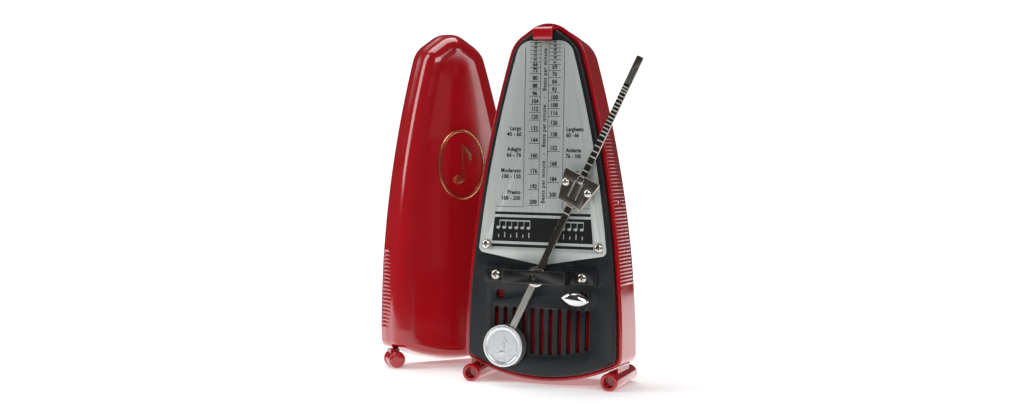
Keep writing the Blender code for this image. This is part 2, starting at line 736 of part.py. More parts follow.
def build_click(face, steel):
    """Sprung pawl that holds the ratchet wheel, on the back of the movement."""
    y = FRAME_BACK + FRAME_THICK
    pivot = Vector(KEY_AT) + Vector((-10.0, 5.8))
    nose = Vector(KEY_AT) + Matrix.Rotation(math.radians(115), 2) @ Vector((RATCHET_RADIUS + 0.4, 0))
    tip = nose - pivot
    along = tip.normalized()
    across = Vector((-along.y, along.x))
    points = []
    for i in range(9):
        a = math.pi / 2 + math.pi * i / 8
        points.append(along * 1.7 * math.cos(a) + across * 1.7 * math.sin(a))
    points += [along * (tip.length - 1.4) - across * 0.6, tip - across * 0.1,
               tip + across * 0.5, along * (tip.length - 1.6) + across * 1.0]
    outline = [tuple(p) for p in points]
    home = (pivot.x, 0, pivot.y)
    click = prism("click_pawl", outline, y + 0.5, y + 1.8, steel, face, home)
    boolean(click, hole(face, tuple(pivot), 1.05, y - 2, y + 4, 16), "DIFFERENCE")
    profile = [(y + 0.3, 0), (y + 0.3, 0.75), (y + 2.1, 0.75), (y + 2.1, 1.5), (y + 2.6, 1.5),
               (y + 2.6, 0)]
    turned("click_pin", profile, steel, face, home, 16)
    line = [(-5.2, 8.2), (-2.0, 6.0), (1.5, 4.6), (5.0, 3.9)]
    spring = line + [(a + 0.12, b + 0.3) for a, b in reversed(line)]
    prism("click_spring", spring, y + 0.7, y + 1.6, steel, face, home)


def polar_meet(a, ra, b, rb):
    """Lower meeting point of two circles."""
    a, b = Vector(a), Vector(b)
    span = (b - a).length
    along = (ra * ra - rb * rb + span * span) / (2 * span)
    off = math.sqrt(ra * ra - along * along)
    u = (b - a) / span
    pair = [a + u * along + Vector((-u.y, u.x)) * s * off for s in (-1, 1)]
    return min(pair, key=lambda p: p.y)


def mesh_phase(centre, other, teeth, their_teeth, their_phase):
    """Turn of a wheel that puts one of its gaps opposite a tooth of its neighbour."""
    line = Vector(other) - Vector(centre)
    mine = math.atan2(line.y, line.x)
    theirs = math.atan2(-line.y, -line.x)
    step, their_step = 2 * math.pi / teeth, 2 * math.pi / their_teeth
    offset = ((theirs - their_phase) / their_step) % 1.0
    return mine + step * (0.5 + offset)


def build_train(face, brass, steel, blue):
    """Spring barrel, intermediate wheel and escape wheel between the two movement plates."""
    reach = (BARREL_TEETH + INTER_PINION) * BARREL_MODULE / 2
    close = (INTER_TEETH + ESCAPE_PINION) * INTER_MODULE / 2
    inter = tuple(polar_meet(KEY_AT, reach, ESCAPE_AT, close))
    build_barrel(face, brass, blue)
    home = empty("inter_axis", face, (inter[0], 0, inter[1]))
    turned("inter_arbor", [(4.3, 0), (4.3, 0.8), (18.8, 0.8), (18.8, 0)], steel, home, sides=12)
    phase = mesh_phase(inter, KEY_AT, INTER_PINION, BARREL_TEETH, 0.0)
    pinion = gear(INTER_PINION, BARREL_MODULE, 0.8, 1.2, 0.36, phase)
    ringed("inter_pinion", pinion, 1.1, 6.4, 8.5, steel, home)
    ringed("inter_wheel", gear(INTER_TEETH, INTER_MODULE), 1.1, 15.4, 16.3, brass, home)
    home = empty("escape_axis", face, (ESCAPE_AT[0], 0, ESCAPE_AT[1]))
    turned("escape_arbor", [(4.3, 0), (4.3, 0.45), (18.8, 0.45), (18.8, 0)], steel, home, sides=12)
    phase = mesh_phase(ESCAPE_AT, inter, ESCAPE_PINION, INTER_TEETH, 0.0)
    pinion = gear(ESCAPE_PINION, INTER_MODULE, 0.8, 1.15, 0.36, phase)
    ringed("escape_pinion", pinion, 0.75, 14.9, 16.8, steel, home)
    teeth = saw(ESCAPE_TEETH, ESCAPE_RADIUS, 1.5)
    ringed("escape_wheel", teeth, 0.75, 11.2, 12.2, brass, home)
    return inter


def ringed(name, outline, bore, y0, y1, mat, parent):
    """Wheel with a central bore, skinned without a boolean."""
    count = len(outline)
    inner = []
    for x, z in outline:
        a = math.atan2(z, x)
        inner.append((bore * math.cos(a), bore * math.sin(a)))
    rings = [[(x, y, z) for x, z in pts] for pts, y in
             ((inner, y0), (outline, y0), (outline, y1), (inner, y1))]
    assert count == len(inner)
    return loft(name, rings, mat, parent, closed=True)


def build_barrel(face, brass, blue):
    home = empty("barrel_axis", face, (KEY_AT[0], 0, KEY_AT[1]))
    drum = BARREL_TEETH * BARREL_MODULE / 2 - 2.0
    teeth = gear(BARREL_TEETH, BARREL_MODULE, 0.8, 1.15, 0.40)
    wheel = ringed("barrel", teeth, 1.8, 6.9, 8.1, brass, home)
    wall = [[(x, y, z) for x, z in circle(r, 48)] for r, y in
            ((drum, 7.5), (drum, 13.9), (drum - 0.8, 13.9), (drum - 0.8, 7.6))]
    boolean(wheel, loft("wall", wall, None, home, closed=True), "UNION")
    cap = [[(x, y, z) for x, z in circle(r, 48)] for r, y in
           ((1.9, 14.2), (drum, 14.2), (drum, 14.9), (1.9, 14.9))]
    loft("barrel_cap", cap, brass, home, closed=True)
    spiral(home, drum - 1.2, blue)


def spiral(home, outer, blue):
    """Mainspring: a flat strip coiled from the drum's wall toward the arbor."""
    turns, steps, inner = 5, 20, 3.2
    rings = []
    for i in range(turns * steps + 1):
        a = 2 * math.pi * i / steps
        r = outer - (outer - inner) * i / (turns * steps)
        ring = [(d * math.cos(a), y, d * math.sin(a))
                for d, y in ((r, 8.9), (r, 13.2), (r - 0.35, 13.2), (r - 0.35, 8.9))]
        rings.append(ring)
    loft("mainspring", rings, blue, home)


def build_frames(face, red, brass, steel, inter):
    """Moulded front and brass back movement plates, held apart by four pillars."""
    x0, x1 = FRAME_X
    z0, z1 = FRAME_Z
    posts = [(x0 + 2.8, z0 + 2.8), (x1 - 2.8, z0 + 2.8), (x1 - 2.8, z1 - 2.8), (x0 + 2.8, z1 - 2.8)]
    outline = box_outline(x0, x1, z0, z1, 2.4)
    left, low, top = FRONT_WING
    wing = [(left, low), (x1, low), (x1, z1), (x0, z1), (x0, top), (left, top)]
    for name, y, mat in (("front_frame", FRAME_FRONT, red), ("back_frame", FRAME_BACK, brass)):
        edge = wing if name == "front_frame" else outline
        frame = prism(name, edge, y, y + FRAME_THICK, mat, face)
        bores = [(KEY_AT, 1.8), ((0, PIVOT_Z), 1.3), (inter, 1.1), (ESCAPE_AT, 0.75)]
        cutters = [hole(face, at, r, y - 2, y + 4, 16) for at, r in bores]
        cutters += [hole(face, at, 1.1, y - 2, y + 4, 12) for at in posts]
        drilled(frame, cutters)
    near = FRAME_FRONT + FRAME_THICK + 0.15
    far = FRAME_BACK - 0.15
    for i, (x, z) in enumerate(posts):
        profile = [(near + 4.0, 0), (near + 4.0, 1.1), (near, 1.1), (near, 2.0), (far, 2.0),
                   (far, 1.1), (far - 4.0, 1.1), (far - 4.0, 0)]
        turned(f"pillar_{i + 1}", profile, steel, face, (x, 0, z), 16)
        y = FRAME_FRONT
        profile = [(y - 1.1, 0), (y - 1.0, 1.3), (y - 0.6, 1.7), (y - 0.15, 1.7), (y - 0.15, 0.8),
                   (near + 3.6, 0.8), (near + 3.6, 0)]
        turned(f"frame_screw_{i + 1}", profile, steel, face, (x, 0, z), 16)


# ---------------------------------------------------------------- feet
def build_feet(stand, face, red):
    """Tube feet along the case's underside, each with a web up to the case."""
    turn = math.pi / 24 - math.pi / 2
    height = FOOT_RADIUS * math.cos(math.pi / 24)
    f, b, s = FOOT_FRONT, FOOT_BACK, FOOT_SOCKET
    r, bore = FOOT_RADIUS, FOOT_BORE
    profile = [(f + s, 0), (f + s, bore), (f + 0.2, bore), (f, bore + 0.2), (f, r - 0.25),
               (f + 0.25, r), (b - 0.25, r), (b, r - 0.25), (b, bore + 0.2), (b - 0.2, bore),
               (b - s, bore), (b - s, 0)]
    for side, name in ((-1, "foot_left"), (1, "foot_right")):
        foot = turned(name, profile, red, stand, (side * FOOT_X, 0, height), 24, turn)
        x, top, near = side * FOOT_X, 3 * FOOT_RADIUS, RIM_BACK + 2
        web = [(near, height + 2), (DEPTH - 7, height + 2), (DEPTH - 7, top), (near, top)]
        boolean(foot, bar("web", web, x - FOOT_WEB, x + FOOT_WEB, None, stand), "UNION")
        seat = prism("seat", case_outline(-GAP), RIM_BACK - GAP, DEPTH + 30, None, face)
        boolean(foot, seat, "DIFFERENCE")


# ---------------------------------------------------------------- cover
def build_cover(stand, red, gold):
    """Front cover: a peaked shell, deepest at its foot, on two stub feet."""
    face = empty("cover_face", stand, turn=(-LEAN, 0, 0))

    def ring(cut, depth=None, back=None, swell=0.0):
        points = []
        for x, z in case_outline(cut + COVER_CUT, COVER_DROP, COVER_SINK + swell):
            y = depth if back is None else rear(back, z, COVER_LEAN)
            points.append((x, y, z))
        return points

    def rounded(radius, start, depth):
        """Rings of the rounded edge, from the side wall to the front."""
        steps = []
        for i in range(5):
            a = math.pi / 2 * i / 4
            turned_in = radius * (1 - math.cos(a))
            y = COVER_FRONT + depth + radius * (1 - math.sin(a))
            steps.append(ring(start + turned_in, back=y, swell=COVER_SWELL * turned_in))
        return steps

    rim = RIM_BACK - GAP
    wall, draft, edge = COVER_WALL, COVER_DRAFT, COVER_EDGE
    inside = rounded(edge - wall, draft + wall, wall)[::-1]
    outside = rounded(edge, draft, 0.0)
    rings = inside + [ring(wall, rim), ring(0.3, rim), ring(0.0, rim - 0.3)] + outside
    shell = loft("cover_shell", rings, red, face)
    clear = 1.3 * GAP
    seat = [ring(-clear, 12.0)] + rounded(edge, draft - clear, -clear)
    build_cover_feet(stand, red, face, seat)
    build_emblem(stand, gold)
    return shell


def build_cover_feet(stand, red, face, seat):
    """Stub feet; the seat's rings are the cover's outside, a gap larger all round."""
    turn = math.pi / 24 - math.pi / 2
    height = FOOT_RADIUS * math.cos(math.pi / 24)
    f, b = COVER_FOOT_FRONT, FOOT_FRONT - 0.4
    r = FOOT_RADIUS
    profile = [(f, 0), (f, r - 0.9), (f + 0.25, r - 0.3), (f + 0.8, r), (b - 0.3, r),
               (b, r - 0.3), (b, 0)]
    for side, name in ((-1, "cover_foot_left"), (1, "cover_foot_right")):
        foot = turned(name, profile, red, stand, (side * FOOT_X, 0, height), 24, turn)
        x, top = side * FOOT_X, 2 * FOOT_RADIUS + 0.6
        web = [(f + 4, height + 2), (b - 0.5, height + 2), (b - 0.5, top), (f + 4, top)]
        boolean(foot, bar("web", web, x - FOOT_WEB, x + FOOT_WEB, None, stand), "UNION")
        boolean(foot, loft("seat", seat, None, face), "DIFFERENCE")


def build_emblem(stand, gold):
    """Plain oval ring around an eighth note, fixed to the cover's face."""
    front = COVER_FRONT + EMBLEM_Z * math.tan(math.radians(COVER_LEAN))
    home = empty("emblem_home", stand, (0, front, EMBLEM_Z), (-COVER_LEAN, 0, 0))
    y1 = -0.12
    y0 = y1 - 0.6
    a, b = EMBLEM_HALF
    band = EMBLEM_BAND

    def oval(cut, y):
        return [((a - cut) * math.cos(t), y, (b - cut) * math.sin(t))
                for t in (2 * math.pi * i / 40 for i in range(40))]

    rings = [oval(band, y1), oval(0, y1), oval(0.15, y0), oval(band - 0.15, y0)]
    loft("emblem_ring", rings, gold, home, closed=True)
    head = []
    for i in range(20):
        t = 2 * math.pi * i / 20
        x, z = 3.0 * math.cos(t), 2.0 * math.sin(t)
        head.append((-1.7 + x - 0.3 * z, -7.0 + 0.3 * x + z))
    note = prism("emblem_note", head, y0, y1, gold, home)
    stem = prism("stem", box_outline(0.2, 1.3, -7.0, 9.5), y0, y1, None, home)
    boolean(note, stem, "UNION")
    flag = [(0.6, 9.4), (0.6, 6.0), (2.6, 4.6), (4.2, 2.6), (4.5, 0.4), (5.4, 2.6), (5.0, 5.0),
            (3.2, 7.0), (1.7, 8.4)]
    boolean(note, prism("flag", flag, y0, y1, None, home), "UNION")


# ---------------------------------------------------------------- set
def centre_on_floor(root):
    """Put the middle of the whole set's box over the origin."""
    bpy.context.view_layer.update()
    low, high = Vector((9, 9, 9)), Vector((-9, -9, -9))
    for obj in bpy.context.scene.objects:
        if obj.type != "MESH":
            continue
        for vertex in obj.data.vertices:
            p = obj.matrix_world @ vertex.co
            low = Vector(min(a, b) for a, b in zip(low, p))
            high = Vector(max(a, b) for a, b in zip(high, p))
    root.location = (-(low.x + high.x) / 2, -(low.y + high.y) / 2, -low.z)
    bpy.context.view_layer.update()


def main():
    for obj in list(bpy.context.scene.objects):
        bpy.data.objects.remove(obj)
    red = material("red_plastic", "a3131f", 0.18)
    black = material("black_plastic", "17181a", 0.45)
    strap = material("black_steel", "1c1d1f", 0.4, 0.6)
    silver = material("dial_aluminium", "b4b5ae", 0.35, 1.0)
    dark = material("dark_steel", "5b5c5e", 0.35, 1.0)
    steel = material("steel", "b9babc", 0.3, 1.0)
    chrome = material("chrome", "dcdde0", 0.1, 1.0)
    brass = material("brass", "b8954a", 0.3, 1.0)
    blue = material("spring_steel", "4a4f63", 0.35, 1.0)
    gold = material("gold_trim", "c9a26a", 0.25, 1.0)
    root = empty("set_root", None)
    face = empty("face", root, turn=(-LEAN, 0, 0))
    build_housing(face, red)
    build_side_pins(face, steel)
    build_back_screws(face, steel)
    build_plate(face, black)
    build_dial(face, silver, steel)
    build_bridge(face, strap, steel)
    pivot = build_pendulum(face, dark, steel, chrome)
    build_slider(pivot, dark, chrome, steel)
    build_key(face, chrome, steel)
    build_click(face, steel)
    inter = build_train(face, brass, steel, blue)
    build_frames(face, red, brass, steel, inter)
    build_feet(root, face, red)
    stand = empty("cover_stand", root, (COVER_AT[0], COVER_AT[1], 0), (0, 0, COVER_YAW))
    build_cover(stand, red, gold)
    centre_on_floor(root)


main()
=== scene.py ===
"""A small clockwork metronome in glossy red plastic, its front cover standing beside it.

Sizes are millimetres.  Each piece is drawn in the frame of the thing it is fixed to: x across,
y into the case, z up.  A frame's matrix then puts it in place, in metres."""
import math

import bmesh
import bpy
from mathutils import Matrix, Vector, noise


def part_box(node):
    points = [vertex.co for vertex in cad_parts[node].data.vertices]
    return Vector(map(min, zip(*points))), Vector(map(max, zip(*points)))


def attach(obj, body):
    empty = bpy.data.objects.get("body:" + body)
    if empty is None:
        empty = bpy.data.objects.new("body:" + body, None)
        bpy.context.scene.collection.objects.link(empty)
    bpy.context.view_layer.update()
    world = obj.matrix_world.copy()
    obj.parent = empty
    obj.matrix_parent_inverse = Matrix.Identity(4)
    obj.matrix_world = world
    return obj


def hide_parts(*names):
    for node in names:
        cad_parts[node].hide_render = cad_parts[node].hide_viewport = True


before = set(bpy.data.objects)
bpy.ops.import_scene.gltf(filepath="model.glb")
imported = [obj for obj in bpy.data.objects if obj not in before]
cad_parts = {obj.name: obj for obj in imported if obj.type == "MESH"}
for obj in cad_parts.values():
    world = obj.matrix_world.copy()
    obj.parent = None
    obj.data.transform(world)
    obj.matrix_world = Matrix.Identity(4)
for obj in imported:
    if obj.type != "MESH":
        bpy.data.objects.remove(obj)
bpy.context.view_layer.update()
MM = 0.001

# ---- case ----
HEIGHT = 160.2
HALF_WIDTH = 37.3
FLANK_LEVEL = 8.0
FLANK_RADIUS = (HEIGHT - FLANK_LEVEL) ** 2 / (2 * 23.4)
BELLY_Z = 1.8
BELLY_RADIUS = 79.0
CORNER_RADIUS = 5.5
GABLE_ANGLE = 34.6
SHOULDER_Z = 151.1
SHOULDER_RADIUS = 14.0
PEAK_RADIUS = 13.5
LEAN = 2.5
DEPTH = 27.0
REAR_RADIUS = 4.5
REAR_DROP = 1.8
WALL = 2.2
LIP = 1.9
RIM_BACK = 2.4
LEDGE = 3.0
THROUGH = (-3.0, 6.0)           # a cut right through the plate and the dial
HOOK_HALF = 4.5
GRIP = (46.0, 112.4, 1.58)      # lowest rib, end of the ribs, rib to rib
GRIP_PROUD = 0.4
# ---- front plate, dial, grille ----
PLATE_INSET = 2.2
PLATE_THICK = 2.6
DIAL_INSET = 4.4
DIAL_THICK = 0.4
DIAL_BACK = -0.15
INK_BACK = DIAL_BACK - DIAL_THICK + 0.02
INK_FRONT = DIAL_BACK - DIAL_THICK - 0.03
DIAL_TOP = 152.3
DIAL_LOW = 53.4
DIAL_CORNER = (26.0, 58.2)
DIAL_SCREW = (26.6, 61.8)
SLOT_COUNT = 11
SLOT_PITCH = 4.29
SLOT_WIDTH = 2.0
SLOT_TOP = 34.4
SLOT_LOW = 13.5
SLOT_ARC = 81.0
GAP = 0.3
# ---- bridge and pendulum ----
PIVOT_Z = 48.65
BRIDGE_HALF = 15.0
BRIDGE_EAR = 25.5
BRIDGE_HEIGHT = 5.8
BRIDGE_OUT = 11.0
BRIDGE_PAD = 2.6
BRIDGE_THICK = 1.0
BRIDGE_SCREW = 20.3
SWING = 25.5
ROD_WIDTH = 3.0
ROD_THICK = 1.0
ROD_FRONT = 6.6
ROD_LENGTH = 106.2
KNURL = (93.5, 101.5)           # hatched length of the rod, below its plain tip
WEIGHT_ARM = 34.5
WEIGHT_RADIUS = 9.3
WEIGHT_THICK = 6.0
WEIGHT_FRONT = 8.3
SLIDER_AT = 42.5
SLIDER_TOP = 17.7
SLIDER_LOW = 11.4
SLIDER_HEIGHT = 13.8
SLIDER_RIVET = 5.6
SCALE_ZERO = 168.6
SCALE_STEP = 0.427
KEY_AT = (18.9, 39.7)
KEY_LENGTH = 13.8
KEY_HEIGHT = 6.3
KEY_OUT = 10.8
KEY_TILT = 6.0
POST_AT = (-19.7, 40.0)
POST_HOLE = 2.2
POST_RADIUS = 3.2
# ---- feet and cover ----
FOOT_X = 32.7
FOOT_RADIUS = 4.0
FOOT_CENTRE = FOOT_RADIUS * math.cos(math.pi / 24)      # the feet stand on one of 24 flats
FOOT_BORE = 2.5
FOOT_WEB = 2.2
FOOT_SOCKET = 3.0
FOOT_FRONT = -2.0
FOOT_BACK = 27.0
COVER_FRONT = -16.1
COVER_LEAN = 3.4
COVER_WALL = 1.4
COVER_CUT = 1.25
COVER_SINK = 2.0
COVER_EDGE = 8.5
COVER_DRAFT = 1.4
COVER_SWELL = 0.5
COVER_DROP = 1.4
COVER_FOOT_FRONT = -11.3
COVER_AT = (-63.7, 47.4)
COVER_YAW = 47.0
COVER_GRIP = (19.0, 55.5, 1.8)
COVER_GROOVE = 0.4
EMBLEM_Z = 95.3
EMBLEM_HALF = (12.0, 16.6)
EMBLEM_BAND = 1.3
SIDE_PIN = (10.0, 82.0)
BACK_SCREWS = ((-21.0, 24.0), (21.0, 24.0), (0.0, 138.0))
# ---- view, in metres and degrees ----
VIEW_AT = (0.2544, -0.6476, 0.1286)
VIEW_TILT = 85.98
VIEW_TURN = 22.46
VIEW_LENS = 55.86


# ---------------------------------------------------------------- frames
def shift(x, y, z):
    return Matrix.Translation((x * MM, y * MM, z * MM))


def turn(degrees, axis):
    return Matrix.Rotation(math.radians(degrees), 4, axis)


left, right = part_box("foot_left"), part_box("foot_right")
FLOOR = Matrix.Translation(((left[0].x + right[1].x) / 2, left[0].y - FOOT_FRONT * MM, 0))
FACE = FLOOR @ turn(-LEAN, "X")
PIVOT = FACE @ shift(0, 0, PIVOT_Z) @ turn(SWING, "Y")
SLIDE = PIVOT @ shift(0, 0, SLIDER_AT)
KEY = FACE @ shift(KEY_AT[0], 0, KEY_AT[1])
STAND = FLOOR @ shift(COVER_AT[0], COVER_AT[1], 0) @ turn(COVER_YAW, "Z")
COVER = STAND @ turn(-LEAN, "X")
EMBLEM = STAND @ shift(0, COVER_FRONT + EMBLEM_Z * math.tan(math.radians(COVER_LEAN)), EMBLEM_Z)
EMBLEM = EMBLEM @ turn(-COVER_LEAN, "X")


# ---------------------------------------------------------------- outlines
def flank(z, cut=0.0):
    """Half width of the case at height z."""
    return HALF_WIDTH - cut - (z - FLANK_LEVEL) ** 2 / (2 * FLANK_RADIUS)


def fillet(before, corner, after, radius, steps):
    """Points of an arc that rounds a corner of a polyline."""
    p = Vector(corner)
    a = (Vector(before) - p).normalized()
    b = (Vector(after) - p).normalized()
    half = a.angle(b) / 2
    centre = p + (a + b).normalized() * (radius / math.sin(half))
    start = p + a * (radius / math.tan(half)) - centre
    stop = p + b * (radius / math.tan(half)) - centre
    sweep = math.atan2(start.x * stop.y - start.y * stop.x, start.dot(stop))
    return [tuple(centre + Matrix.Rotation(sweep * i / steps, 2) @ start) for i in range(steps + 1)]


def rounded(points, radius, steps=4):
    """A closed polyline with every corner rounded."""
    count = len(points)
    out = []
    for i in range(count):
        out += fillet(points[i - 1], points[i], points[(i + 1) % count], radius, steps)
    return out


def mirrored(half):
    return half + [(-x, z) for x, z in reversed(half) if abs(x) > 1e-6]


def rib_levels(low, high, zone):
    """Heights up the flank, each with its share of a rib's height."""
    start, end, pitch = zone
    levels = [(low + (start - 0.5 - low) * i / 10, 0.0) for i in range(11)]
    z = start
    while z + pitch < end:
        levels += [(z + pitch * a, b) for a, b in
                   ((0.0, 0.0), (0.1, 0.62), (0.24, 1.0), (0.38, 1.0), (0.52, 0.62), (0.62, 0.0))]
        z += pitch
    levels += [(z + 0.5 + (high - z - 0.5) * i / 14, 0.0) for i in range(15)]
    return levels


def case_outline(cut=0.0, drop=0.0, rib=0.0, zone=GRIP, sink=0.0):
    """Outline of the case moved inward by cut; every outline has the same count of points."""
    centre = BELLY_Z - sink + BELLY_RADIUS
    belly = BELLY_RADIUS - cut
    half = []
    for i in range(13):
        x = (HALF_WIDTH - 8.3 - cut) * i / 12
        half.append((x, centre - math.sqrt(belly ** 2 - x * x)))
    side = HALF_WIDTH - 0.2 - cut
    corner = (side, centre - math.sqrt(belly ** 2 - side ** 2))
    low = min(corner[1] + 12, zone[0] - 1.0)
    half += fillet(half[-1], corner, (flank(low, cut), low), max(CORNER_RADIUS - cut, 1.5), 10)
    slope = math.radians(GABLE_ANGLE)
    sharp = HEIGHT + PEAK_RADIUS * (1 / math.cos(slope) - 1) - drop - cut / math.cos(slope)
    z = SHOULDER_Z
    for _ in range(12):
        z = sharp - flank(z, cut) * math.tan(slope)
    shoulder = (flank(z, cut), z)
    half += [(flank(h, cut) + rib * share, h) for h, share in rib_levels(low, z - 8, zone)]
    half += fillet(half[-1], shoulder, (0, sharp), max(SHOULDER_RADIUS - cut, 2.0), 9)
    crest = fillet(shoulder, (0, sharp), (-shoulder[0], z), max(PEAK_RADIUS - cut, 3.0), 16)
    half += crest[:9]
    half[-1] = (0.0, half[-1][1])
    return mirrored(half)


def circle(radius, count, at=(0.0, 0.0)):
    angles = [2 * math.pi * i / count for i in range(count)]
    return [(at[0] + radius * math.cos(a), at[1] + radius * math.sin(a)) for a in angles]


def slot(x, low, high, width, steps=10):
    """Upright slot with round ends."""
    r = width / 2
    ends = []
    for z, start in ((high - r, 0.0), (low + r, math.pi)):
        for i in range(steps + 1):
            a = start + math.pi * i / steps
            ends.append((x + r * math.cos(a), z + r * math.sin(a)))
    return ends


def rectangle(x0, x1, z0, z1):
    return [(x0, z0), (x1, z0), (x1, z1), (x0, z1)]


def rear(y, z, lean=0.0):
    """Depth in the leaned frame of a plane that meets the floor y behind the face's foot."""
    a = math.radians(LEAN)
    return (y + z * math.tan(math.radians(lean)) - z * math.sin(a)) / math.cos(a)


def slot_low(x):
    return SLOT_LOW + SLOT_ARC - math.sqrt(SLOT_ARC ** 2 - x * x)


# ---------------------------------------------------------------- solids
def solid(name, verts, faces):
    """Closed mesh from points in millimetres, drawn in its own frame."""
    bm = bmesh.new()
    made = [bm.verts.new([c * MM for c in v]) for v in verts]
    for face in faces:
        bm.faces.new([made[i] for i in face])
    bmesh.ops.recalc_face_normals(bm, faces=bm.faces)
    mesh = bpy.data.meshes.new(name)
    bm.to_mesh(mesh)
    bm.free()
    obj = bpy.data.objects.new(name, mesh)
    bpy.context.scene.collection.objects.link(obj)
    return obj


def loft(name, rings, closed=False):
    """Skin over rings of equal count; the ends are capped unless the rings close up."""
    count = len(rings[0])
    verts = [p for ring in rings for p in ring]
    faces = []
    for k in range(len(rings) if closed else len(rings) - 1):
        a, b = k * count, ((k + 1) % len(rings)) * count
        for i in range(count):
            j = (i + 1) % count
            faces.append((a + i, a + j, b + j, b + i))
    if not closed:
        top = (len(rings) - 1) * count
        faces += [tuple(range(count))[::-1], tuple(range(top, top + count))]
    return solid(name, verts, faces)


def prism(name, outline, y0, y1):
    return loft(name, [[(x, y, z) for x, z in outline] for y in (y0, y1)])


def bar(name, profile, x0, x1):
    return loft(name, [[(x, y, z) for y, z in profile] for x in (x0, x1)])


def turned(name, profile, sides=48, at=(0.0, 0.0)):
    """Profile of (y, radius) turned about the y axis; its ends lie on the axis."""
    verts = [(at[0], profile[0][0], at[1])]
    for y, r in profile[1:-1]:
        verts += [(x, y, z) for x, z in circle(r, sides, at)]
    verts.append((at[0], profile[-1][0], at[1]))
    faces = []
    top = 1 + (len(profile) - 3) * sides
    for i in range(sides):
        j = (i + 1) % sides
        faces += [(0, 1 + j, 1 + i), (top + i, top + j, len(verts) - 1)]
        for k in range(len(profile) - 3):
            a, b = 1 + k * sides, 1 + (k + 1) * sides
            faces.append((a + i, a + j, b + j, b + i))
    return solid(name, verts, faces)


def washer(name, profile):
    """Closed section of (radius, y) turned about the y axis."""
    return loft(name, [[(x, y, z) for x, z in circle(r, 64)] for r, y in profile], closed=True)


def relief(name, x0, x1, z0, z1, across, up, height, front, back):
    """Flat bar whose front is a grid raised by height(x, z)."""
    grid = [[(x0 + (x1 - x0) * i / across, z0 + (z1 - z0) * k / up) for i in range(across + 1)]
            for k in range(up + 1)]
    verts = [(x, front - height(x, z), z) for row in grid for x, z in row]
    wide = across + 1
    faces = []
    for k in range(up):
        for i in range(across):
            a = k * wide + i
            faces.append((a, a + 1, a + wide + 1, a + wide))
    rim = [i for i in range(wide)] + [k * wide + across for k in range(1, up + 1)]
    rim += [up * wide + i for i in reversed(range(across))] + [k * wide for k in range(up - 1, 0, -1)]
    base = len(verts)
    verts += [(verts[i][0], back, verts[i][2]) for i in rim]
    for i in range(len(rim)):
        j = (i + 1) % len(rim)
        faces.append((rim[i], rim[j], base + j, base + i))
    faces.append(tuple(range(base, base + len(rim))))
    return solid(name, verts, faces)


def modified(obj, kind, **settings):
    """Apply one modifier to a mesh."""
    bpy.context.view_layer.update()
    mod = obj.modifiers.new(kind.lower(), kind)
    for key, value in settings.items():
        setattr(mod, key, value)
    graph = bpy.context.evaluated_depsgraph_get()
    mesh = bpy.data.meshes.new_from_object(obj.evaluated_get(graph))
    obj.modifiers.clear()
    old, obj.data = obj.data, mesh
    bpy.data.meshes.remove(old)
    mesh.name = obj.name
    return obj


def combined(obj, tools, operation="DIFFERENCE"):
    """Cut tools from a mesh, or add them to it."""
    for tool in tools:
        modified(obj, "BOOLEAN", operation=operation, solver="EXACT", object=tool)
        bpy.data.objects.remove(tool)
    return obj


def loose(obj):
    """The mesh of an object that is needed no more."""
    mesh = obj.data
    bpy.data.objects.remove(obj)
    return mesh


def joined(name, meshes):
    """One object from loose meshes, which it uses up."""
    bm = bmesh.new()
    for part in meshes:
        bm.from_mesh(part)
        bpy.data.meshes.remove(part)
    mesh = bpy.data.meshes.new(name)
    bm.to_mesh(mesh)
    bm.free()
    obj = bpy.data.objects.new(name, mesh)
    bpy.context.scene.collection.objects.link(obj)
    return obj


def merged(tools):
    """Tools that don't touch, as one."""
    return joined("tool", [loose(tool) for tool in tools])


def softened(obj, width, segments=2, angle=32.0):
    return modified(obj, "BEVEL", width=width * MM, segments=segments, limit_method="ANGLE",
                    angle_limit=math.radians(angle), use_clamp_overlap=True,
                    miter_outer="MITER_ARC" if segments > 2 else "MITER_SHARP")


def place(obj, where, body, finish, stands_for=(), crease=33.0):
    """Give a finished mesh its place, body, material and shading; without a finish it keeps its own."""
    obj.data.transform(where)
    if finish:
        obj.data.materials.clear()
        obj.data.materials.append(finish)
    obj.data.shade_smooth()
    obj.data.set_sharp_from_angle(angle=math.radians(crease))
    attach(obj, body)
    if stands_for:
        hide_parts(*stands_for)
    return obj


def bare_edges(obj, plain, edge):
    """One finish on the broad faces and another on the edges between them."""
    obj.data.materials.clear()
    for mat in (plain, edge):
        obj.data.materials.append(mat)
    for face in obj.data.polygons:
        face.material_index = 0 if abs(face.normal.y) > 0.93 else 1


# ---------------------------------------------------------------- materials
def linear(code):
    """Linear colour of an sRGB hex value."""
    values = []
    for i in (0, 2, 4):
        c = int(code[i:i + 2], 16) / 255
        values.append(c / 12.92 if c <= 0.04045 else ((c + 0.055) / 1.055) ** 2.4)
    return (*values, 1.0)


def add(tree, kind, settings=(), links=()):
    """Add one node, set its values and link other sockets into it."""
    made = tree.nodes.new(kind)
    for key, value in dict(settings).items():
        if isinstance(key, str) and hasattr(made, key):
            setattr(made, key, value)
        else:
            made.inputs[key].default_value = value
    for key, source in dict(links).items():
        tree.links.new(source, made.inputs[key])
    return made


def start_material(name, drawn=(1, 1, 1), lean=0.0, **values):
    """New material with its Principled shader's constants set on the shader.

    Its patterns are drawn out by the factors in drawn, along axes turned about y by lean."""
    mat = bpy.data.materials.new(name)
    mat.use_nodes = True
    tree = mat.node_tree
    shader = tree.nodes["Principled BSDF"]
    for key, value in values.items():
        shader.inputs[key.replace("_", " ")].default_value = value
    spot = add(tree, "ShaderNodeTexCoord")
    grain = add(tree, "ShaderNodeMapping", {"vector_type": "TEXTURE", "Scale": drawn,
                "Rotation": (0, math.radians(lean), 0)}, {"Vector": spot.outputs["Object"]})
    return mat, tree, shader, grain.outputs["Vector"]


